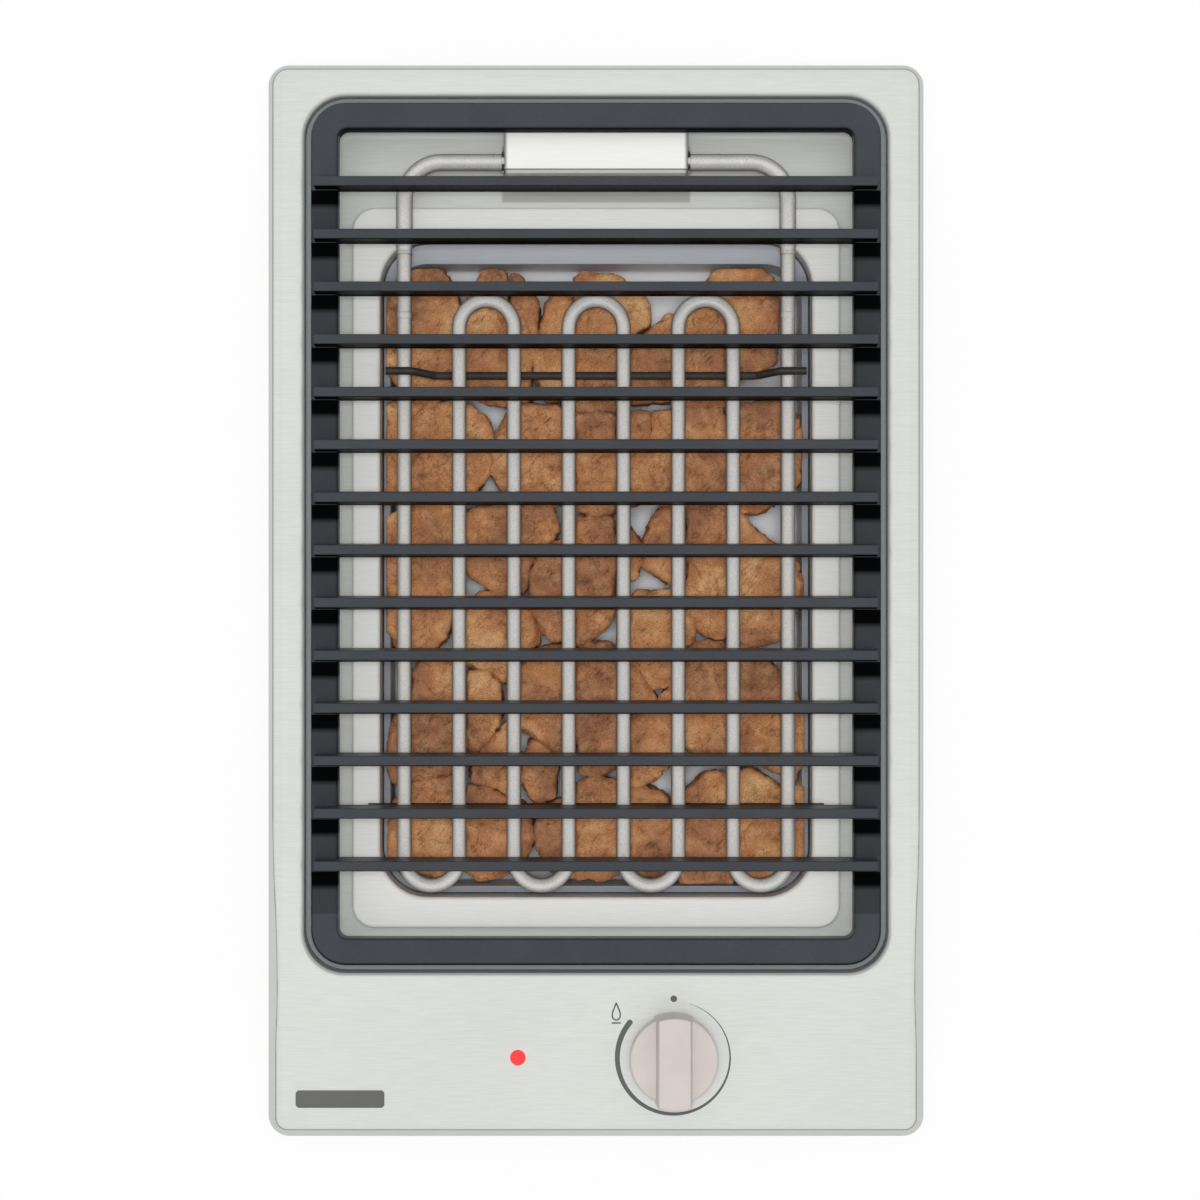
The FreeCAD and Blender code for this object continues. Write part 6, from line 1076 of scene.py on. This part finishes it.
@dataclass
class Prints(SubAssembly):
    """The generic marks printed round the knob: the off dot, the growing ring and the flame."""

    centre: Flat = (0.0368, -0.2164)
    ring_radius: float = 0.0267
    ring_turns: Flat = (141.0, 434.0)
    ring_widths: Flat = (0.00265, 0.00014)
    ring_steps: int = 160
    cap_steps: int = 16
    dot_centre: Flat = (0.0368, -0.1883)
    dot_radius: float = 0.00157
    dot_steps: int = 40
    flame_centre: Flat = (0.0096, -0.1943)
    flame_size: Flat = (0.0047, 0.0083)
    flame_steps: int = 48
    underline_half: float = 0.0022
    underline_drop: float = 0.0014
    line: float = 0.00072
    lift: float = 0.00004

    def add_pieces(self) -> None:
        """Print the marks on the plate."""
        plate = self.shop.nodes["top_plate"].data
        corners = [tuple(vertex.co) for vertex in plate.vertices]
        faces = [tuple(face.vertices) for face in plate.polygons]
        self.surface = BVHTree.FromPolygons(corners, faces)
        marks = {
            "dial_ring": self.ring(),
            "off_dot": self.dot(),
            "flame_mark": self.outline(self.flame()),
            "flame_underline": self.outline(self.underline()),
        }
        for name, (points, faces) in marks.items():
            mesh = mesh_of(name, [self.on_plate(x, y) for x, y in points], faces)
            self.shop.piece(name, mesh, Ink(), Body.HOB, Slot.PLATE)

    def on_plate(self, x: float, y: float) -> Point:
        """Return the point just above the plate at a place."""
        hit = self.surface.ray_cast(Vector((x, y, 0.2)), Vector((0, 0, -1)))[0]
        return (x, y, hit.z + self.lift)

    def ring(self) -> Mark:
        """Lay out the ring, which grows from a hairline to its round, widest end.

        Returns:
            Its points and faces.
        """
        points = []
        start, end = (math.radians(turn) for turn in self.ring_turns)
        widest, finest = self.ring_widths
        for step in range(self.ring_steps + 1):
            share = step / self.ring_steps
            half = (widest + share * (finest - widest)) / 2
            for radius in (self.ring_radius - half, self.ring_radius + half):
                points.append(on_circle(self.centre, radius, start + share * (end - start)))
        first = len(points)
        middle = on_circle(self.centre, self.ring_radius, start)
        for step in range(self.cap_steps + 1):
            turn = start + math.pi + math.pi * step / self.cap_steps
            points.append(on_circle(middle, widest / 2, turn))
        return points, [*ribbon_faces(self.ring_steps), tuple(range(first, len(points)))]

    def dot(self) -> Mark:
        """Lay out the round off dot.

        Returns:
            Its points and faces.
        """
        turns = [math.tau * step / self.dot_steps for step in range(self.dot_steps)]
        points = [on_circle(self.dot_centre, self.dot_radius, turn) for turn in turns]
        return points, [tuple(range(self.dot_steps))]

    def flame(self) -> list[Flat]:
        """Draw the flame as a drop with a pointed top.

        Returns:
            The points of its closed line.
        """
        x, y = self.flame_centre
        width, height = self.flame_size
        line = []
        for step in range(self.flame_steps):
            turn = math.tau * step / self.flame_steps
            swell = math.sin(turn / 2) ** 1.6 / 0.86
            line.append((x + width / 2 * math.sin(turn) * swell, y + height / 2 * math.cos(turn)))
        return line + line[:1]

    def underline(self) -> list[Flat]:
        """Return the short line under the flame."""
        foot = self.flame_centre[1] - self.flame_size[1] / 2 - self.underline_drop
        return [(self.flame_centre[0] + side * self.underline_half, foot) for side in (-1, 0, 1)]

    def outline(self, line: list[Flat]) -> Mark:
        """Lay out a line of the print's width.

        Args:
            line: the points that it runs along.

        Returns:
            Its points and faces.
        """
        points = []
        for index, (x, y) in enumerate(line):
            before = Vector(line[max(index - 1, 0)])
            after = Vector(line[min(index + 1, len(line) - 1)])
            along = (after - before).normalized()
            across = Vector((-along.y, along.x)) * self.line / 2
            points += [(x + across.x, y + across.y), (x - across.x, y - across.y)]
        return points, ribbon_faces(len(line) - 1)


@dataclass
class Controls(SubAssembly):
    """The knob, the lamp and what they stand on under the panel."""

    coat: Moulding = Moulding(
        "knob_coat", (199.0, 190.0, 185.0), 0.38, depth=0.00001, grain_scale=1200.0
    )
    looks: Looks = (
        (coat, "knob"),
        (LitLens(), "lamp_lens"),
        (Moulding("regulator_case", (40.0, 40.0, 42.0), 0.5), "energy_regulator"),
        (Moulding("lamp_case", (232.0, 231.0, 226.0), 0.42), "lamp_holder"),
    )


@dataclass
class Grid(SubAssembly):
    """The cast-iron grid."""

    colour: Colour = (46.0, 50.0, 56.0)
    bars: int = 14
    rail: float = 0.0128
    bar_foot: float = 0.0066
    bar_rise: float = 0.0080
    first_bar: float = 0.0258
    last_bar: float = 0.0350

    def build(self) -> None:
        """Dress the grid, with the bars' painted shadows laid on the rails in front of their feet.
        """
        low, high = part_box("grid")
        back = high.y - self.rail - self.first_bar
        front = low.y + self.rail + self.last_bar
        finish = CastIron(
            "cast_iron", self.colour,
            bar_front=back - self.bar_foot / 2,
            last_front=front - self.bar_foot / 2,
            bar_pitch=(back - front) / (self.bars - 1),
            bar_rise=self.bar_rise,
            rail_top=high.z - self.bar_rise,
        )
        self.shop.dress(finish, "grid")


@dataclass
class Element(SubAssembly):
    """The heating element with its cold ends, rods and joint bands."""

    tube: HeatedSteel = HeatedSteel("heater_tube", (218.0, 216.0, 212.0), 0.36, contrast=6.0)
    swage: HeatedSteel = HeatedSteel("swaged_end", (214.0, 212.0, 208.0), 0.3, flank_shade=0.4)
    sleeve: HeatedSteel = HeatedSteel("cold_end", (222.0, 221.0, 218.0), 0.32, contrast=5.0)
    looks: Looks = (
        (tube, "heating_element"),
        (sleeve, "cold_sleeve_left cold_sleeve_right"),
        (HeatedSteel("heat_dark_rod", (66.0, 63.0, 61.0), 0.42), "front_rod back_rod"),
        (CERAMIC, "end_seals"),
        (BRASS, "end_pins"),
    )
    swage_length: float = 0.0048
    swage_overlap: float = 0.0004
    swage_outline: Shades = (
        (1.0, 1.0), (0.72, 2.6), (0.6, 1.2), (0.46, 1.4), (0.3, 3.4), (0.0, 4.0),
    )
    band_line: float = 0.1372
    band_width: float = 0.0036
    band_swell: float = 0.00035
    band_steps: int = 8
    sink: float = 0.0001
    around: int = 36

    def add_pieces(self) -> None:
        """Add the bands where the hot length begins and the sleeves' pressed ends."""
        low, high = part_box("heating_element")
        radius, middle = (high.z - low.z) / 2, (low.z + high.z) / 2
        for side, x in (("left", low.x + radius), ("right", high.x - radius)):
            foot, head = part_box(f"cold_sleeve_{side}")
            swage = self.swage_profile(foot.y, radius, (head.z - foot.z) / 2)
            for name, profile, finish in (
                (f"joint_band_{side}", self.band_profile(radius), self.tube),
                (f"swaged_end_{side}", swage, self.swage),
            ):
                mesh = self.turned(name, profile, x, middle)
                self.shop.piece(name, mesh, finish, Body.ELEMENT, Slot.HEATER)

    def band_profile(self, radius: float) -> list[Flat]:
        """Draw the slightly raised, rounded band.

        Args:
            radius: the tube's radius.

        Returns:
            Places along the leg with their radius.
        """
        profile = []
        for step in range(self.band_steps + 1):
            turn = math.pi * step / self.band_steps
            along = self.band_line - self.band_width / 2 * math.cos(turn)
            profile.append((along, radius - self.sink + self.band_swell * math.sin(turn) ** 0.6))
        return profile

    def swage_profile(self, start: float, radius: float, sleeve: float) -> list[Flat]:
        """Draw the sleeve's pressed end, which narrows onto the tube.

        Args:
            start: where the sleeve ends.
            radius: the tube's radius.
            sleeve: the sleeve's radius.

        Returns:
            Places along the leg with their radius.
        """
        step, length = (sleeve - radius) / 4, self.swage_length
        first = (start - length, radius - self.sink)
        last = (start + self.swage_overlap, radius + 3.9 * step)
        outline = self.swage_outline
        middle = [(start - length * share, radius + rise * step) for share, rise in outline]
        return [first, *middle, last]

    def turned(self, name: str, profile: list[Flat], x: float, z: float) -> Mesh:
        """Turn an outline round a leg's middle line.

        Args:
            name: the mesh's name.
            profile: places along the leg with their radius.
            x: the leg's place across.
            z: the leg's height.

        Returns:
            The turned mesh.
        """
        points: list[Point] = []
        for along, reach in profile:
            for step in range(self.around):
                across, height = on_circle((x, z), reach, math.tau * step / self.around)
                points.append((across, along, height))
        return mesh_of(name, points, ring_faces(len(profile), self.around), smooth=True)


@dataclass
class PivotHousing(SubAssembly):
    """The cover over the element's ends and what is inside it."""

    looks: Looks = (
        (CoverSteel("cover_steel", (247.0, 248.0, 243.0)), "pivot_cover"),
        (ZINC, "pivot_base"),
        (BrightMetal("bush_metal", (200.0, 199.0, 196.0)), "pivot_bushes"),
        (CERAMIC, "lead_block"),
        (PLATED, "lead_conduit conduit_nut pivot_screws pivot_nuts"),
    )


@dataclass
class Trays(SubAssembly):
    """The basin tray and the stone tray."""

    looks: Looks = (
        (BrushedSteel("tray_steel", (231.0, 232.0, 228.0), patches=3.0, metal=0.1), "basin_tray"),
        (PanSteel("stone_pan_steel", (238.0, 241.0, 245.0)), "stone_tray"),
    )


@dataclass
class LavaBed(SubAssembly):
    """The lava stones: rough, porous stones in place of the plain ones."""

    rows: int = 5
    voxel: float = 0.0015
    quick_voxel: float = 0.003
    widen: float = 1.09
    pan_corner: float = 0.018
    row_shift: Point = (0.37, 0.11, 0.0)
    lump: float = 0.0013
    lump_scale: float = 75.0
    plate: float = 0.0011
    plate_scale: float = 52.0
    plate_edge: float = 0.16
    warp: float = 0.006
    warp_scale: float = 90.0
    grit: float = 0.0005
    grit_scale: float = 420.0
    crack: float = 0.0003
    crack_scale: float = 60.0
    crack_width: float = 0.06
    swell: float = 0.0006

    def add_pieces(self) -> None:
        """Make each row's stones and let them stand for the row's node."""
        names = [f"lava_stones_row_{row}" for row in range(1, self.rows + 1)]
        lows, highs = zip(*(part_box(name) for name in names))
        self.low = Vector([min(low[i] for low in lows) for i in range(3)])
        self.high = Vector([max(high[i] for high in highs) for i in range(3)])
        for row, node in enumerate(names, start=1):
            name, mesh = f"rough_stones_row_{row}", self.row_mesh(node)
            piece = self.shop.piece(name, mesh, LavaStone(), Body.HOB, Slot.LAVA)
            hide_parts(node)

    def row_mesh(self, node: str) -> Mesh:
        """Make the rough stones of a row, from the left one to the right one.

        Args:
            node: the row's node.

        Returns:
            One mesh with all of them.
        """
        stones = solids_of(self.shop.nodes[node].data)
        stones.sort(key=lambda stone: min(corner[0] for corner in stone[0]))
        shaper = bmesh.new()
        for number, (points, faces) in enumerate(stones):
            shaper.from_mesh(self.rough(mesh_of("stone", points, faces), number))
        mesh = bpy.data.meshes.new(node + "_rough")
        shaper.to_mesh(mesh)
        shaper.free()
        return smoothed(mesh)

    def rough(self, mesh: Mesh, number: int) -> Mesh:
        """Turn a plain stone into a rough one: finely meshed, rounded, and moved by its relief.

        Args:
            mesh: the plain stone.
            number: its number in its row, which moves the noise along.

        Returns:
            The rough stone's mesh.
        """
        middle = sum((vertex.co for vertex in mesh.vertices), Vector()) / len(mesh.vertices)
        for vertex in mesh.vertices:
            away = (vertex.co - middle) * self.widen
            vertex.co = Vector((middle.x + away.x, middle.y + away.y, vertex.co.z))
        item = placed(mesh)
        remesh = item.modifiers.new("fine", "REMESH")
        remesh.mode = "VOXEL"
        remesh.voxel_size = self.voxel
        relax = item.modifiers.new("round", "SMOOTH")
        relax.factor = 0.5
        relax.iterations = 2
        ready = item.evaluated_get(bpy.context.evaluated_depsgraph_get())
        fine = bpy.data.meshes.new_from_object(ready)
        bpy.data.objects.remove(item)
        shift = Vector([part * number for part in self.row_shift])
        normals = [vertex.normal.copy() for vertex in fine.vertices]
        for vertex, normal in zip(fine.vertices, normals):
            vertex.co = self.inside(vertex.co + normal * self.relief(vertex.co + shift))
        return fine

    def relief(self, place: Vector) -> float:
        """Return how far the rough surface stands out: in plates, lumps, grit and cracks.

        Args:
            place: the place in the noise.

        Returns:
            The distance along the normal.
        """
        near, far = place * self.warp_scale, place * self.warp_scale + Vector((7.0, 3.0, 1.0))
        warp = Vector((noise.noise(near), noise.noise(far), 0.0)) * self.warp
        first, second = noise.voronoi((place + warp) * self.plate_scale)[0][:2]
        plates = min(second - first, self.plate_edge) / self.plate_edge
        lumps = noise.fractal(place * self.lump_scale, 0.8, 2.0, 4)
        grit = noise.fractal(place * self.grit_scale, 0.6, 2.0, 3)
        split = abs(noise.noise(place * self.crack_scale + Vector((5.0, 2.0, 9.0))))
        crack = max(0.0, 1.0 - split / self.crack_width)
        rise = self.lump * lumps + self.plate * (plates - 0.6) + self.grit * grit
        return rise - self.crack * crack + self.swell

    def inside(self, place: Vector) -> Vector:
        """Move a place into the pan's rounded outline and off its floor.

        Args:
            place: the place.

        Returns:
            The nearest place inside.
        """
        corner, low, high = self.pan_corner, self.low, self.high
        x = min(max(place.x, low.x + corner), high.x - corner)
        y = min(max(place.y, low.y + corner), high.y - corner)
        out = Vector((place.x - x, place.y - y))
        if out.length > corner:
            out *= corner / out.length
        return Vector((x + out.x, y + out.y, min(max(place.z, low.z), high.z)))


@dataclass
class Housing(SubAssembly):
    """The housing under the worktop, its clamps and brackets, and the seal."""

    foam: Moulding = Moulding(
        "foam_seal", (50.0, 50.0, 52.0), 0.9, depth=0.0002, grain_scale=1500.0
    )
    looks: Looks = (
        (foam, "worktop_seal"),
        (
            ZINC, "housing base_cover side_brackets worktop_clamps heat_partition wire_channel "
            "control_bracket",
        ),
        (
            PLATED, "base_screws side_screws clamp_fixings clamp_screws regulator_screws "
            "regulator_spindle entry_screws",
        ),
    )
    # Painted shade: flat dark crosses stand for the shade in the screws' cross recesses.
    recess_shade_finish: Moulding = Moulding("recess_shade", (24.0, 24.0, 26.0), 0.7)
    recess_reach: float = 0.0017
    recess_half: float = 0.00042
    recess_lift: float = 0.00001

    def add_pieces(self) -> None:
        """Add flat dark crosses on the screws' heads, painted shade in place of their cross
        recesses.
        """
        points: list[Point] = []
        for node, down in (("base_screws", True), ("side_screws", False), ("clamp_fixings", False)):
            for corners, _ in solids_of(self.shop.nodes[node].data):
                points += self.cross(corners, down)
        faces = [tuple(range(first, first + 12)) for first in range(0, len(points), 12)]
        # Painted shade crosses, one mesh for all screws.
        mesh = mesh_of("screw_recess_shades", points, faces)
        self.shop.piece("screw_recess_shades", mesh, self.recess_shade_finish, Body.HOB, Slot.SCREWS)

    def cross(self, corners: list[Point], down: bool) -> list[Point]:
        """Draw a flat cross on the face of a screw's head.

        Args:
            corners: the screw's corners.
            down: whether its head faces down; it faces to its side of the cooktop if not.

        Returns:
            The twelve points of the cross.
        """
        low = Vector([min(corner[i] for corner in corners) for i in range(3)])
        high = Vector([max(corner[i] for corner in corners) for i in range(3)])
        centre = (low + high) / 2
        out = Vector((0, 0, -1) if down else (math.copysign(1, centre.x), 0, 0))
        centre += out * (abs((high - low).dot(out)) / 2 + self.recess_lift)
        one = out.orthogonal().normalized()
        other = out.cross(one)
        long, short = self.recess_reach, self.recess_half
        arm = [(long, short), (short, short), (short, long)]
        points: list[Point] = []
        for _ in range(4):
            points += [tuple(centre + one * a + other * b) for a, b in arm]
            arm = [(-b, a) for a, b in arm]
        return points


@dataclass
class MainsEntry(SubAssembly):
    """The mains entry: the cable's bush and saddle, the terminal block and the earth stud."""

    looks: Looks = (
        (BRASS, "terminal_screws earth_stud earth_nuts earth_lug regulator_tabs lamp_tabs"),
        (
            Moulding("white_moulding", (232.0, 231.0, 226.0), 0.42),
            "terminal_block cable_saddle cable_saddle_bar",
        ),
        (Moulding("black_moulding", (38.0, 38.0, 40.0), 0.5), "cable_bush duct_grommet"),
    )


@dataclass
class Wiring(SubAssembly):
    """The wires inside the housing."""

    looks: Looks = (
        (WovenSleeve(), "harness_element"),
        (Moulding("brown_insulation", (112.0, 68.0, 44.0), 0.4), "harness_mains"),
        (Moulding("white_insulation", (228.0, 226.0, 220.0), 0.4), "harness_lamp"),
        (Moulding("green_insulation", (100.0, 156.0, 62.0), 0.4), "harness_earth"),
    )


@dataclass
class Studio:
    """Pale floor, soft light and the camera straight above."""

    camera_place: Point = (0.0019, 0.0003, 1.417)
    view_angle: float = 24.71
    floor_size: float = 80.0
    floor_drop: float = 0.0005
    floor_tone: float = 0.93
    floor_glow: float = 0.9
    sky_side: float = 0.34
    sky_zenith: float = 0.9
    sky_edge: float = 0.3
    lamp_place: Point = (0.0, 0.02, 1.55)
    lamp_size: float = 0.3
    lamp_power: float = 10.6

    def build(self) -> None:
        """Set up the camera, the floor, the sky and the lamp."""
        scene = bpy.context.scene
        scene.view_settings.view_transform = "Standard"
        self.camera(scene)
        self.floor()
        self.sky(scene)
        self.lamp()

    def camera(self, scene: bpy.types.Scene) -> None:
        """Hang the camera over the cooktop, looking straight down.

        Args:
            scene: the scene.
        """
        data = bpy.data.cameras.new("photo_camera")
        data.sensor_fit = "HORIZONTAL"
        data.angle = math.radians(self.view_angle)
        scene.camera = placed(data, self.camera_place)

    def floor(self) -> None:
        """Lay the pale floor, which the camera sees nearly white."""
        half, tone = self.floor_size / 2, self.floor_tone
        corners = [(-half, -half, 0), (half, -half, 0), (half, half, 0), (-half, half, 0)]
        mesh = mesh_of("floor", corners, [(0, 1, 2, 3)])
        item = placed(mesh, (0.0, 0.0, -self.floor_drop))
        material = bpy.data.materials.new("pale_floor")
        nodes = Nodes(material)
        nodes.surface(Base_Color=(tone, tone, tone, 1.0), Roughness=0.9)
        glow = nodes.add("Emission", {"Color": linear(WHITE), "Strength": 1.0}).outputs["Emission"]
        share = nodes.maths(Op.TIMES, nodes.seen(), self.floor_glow)
        mix = nodes.add("MixShader", {0: share, 1: nodes.shader.outputs["BSDF"], 2: glow})
        output = nodes.tree.nodes["Material Output"]
        nodes.feed(output.inputs["Surface"], mix.outputs["Shader"])
        mesh.materials.append(material)

    def sky(self, scene: bpy.types.Scene) -> None:
        """Make the room's light, a bright ceiling over greyer sides, before a white backdrop.

        Args:
            scene: the scene.
        """
        scene.world = bpy.data.worlds.new("studio_sky")
        nodes = Nodes(scene.world)
        height = nodes.axes(Own.DIRECTION)["Z"]
        span = (self.sky_side, self.sky_zenith, self.sky_edge, 1.0)
        light = nodes.spread(height, *span, interpolation_type="SMOOTHSTEP")
        colour = nodes.tree.nodes["Background"].inputs["Color"]
        nodes.feed(colour, nodes.maths(Op.LARGER, nodes.seen(), light))

    def lamp(self) -> None:
        """Hang the large soft lamp straight above the cooktop."""
        data = bpy.data.lights.new("soft_lamp", "AREA")
        data.shape = "DISK"
        data.size = self.lamp_size
        data.energy = self.lamp_power
        placed(data, self.lamp_place).visible_glossy = False


def main() -> None:
    """Build every sub-assembly on the frame, in order."""
    logging.basicConfig(level=logging.INFO, format="%(name)s: %(message)s")
    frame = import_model()
    shop = Workshop(frame["nodes"])
    for part in (
        TopPlate(shop), Prints(shop), Controls(shop), Grid(shop), Element(shop),
        PivotHousing(shop), Trays(shop), LavaBed(shop), Housing(shop), MainsEntry(shop),
        Wiring(shop), Studio(),
    ):
        part.build()
        log.info("%s is built", type(part).__name__)


if __name__ == "__main__":
    main()
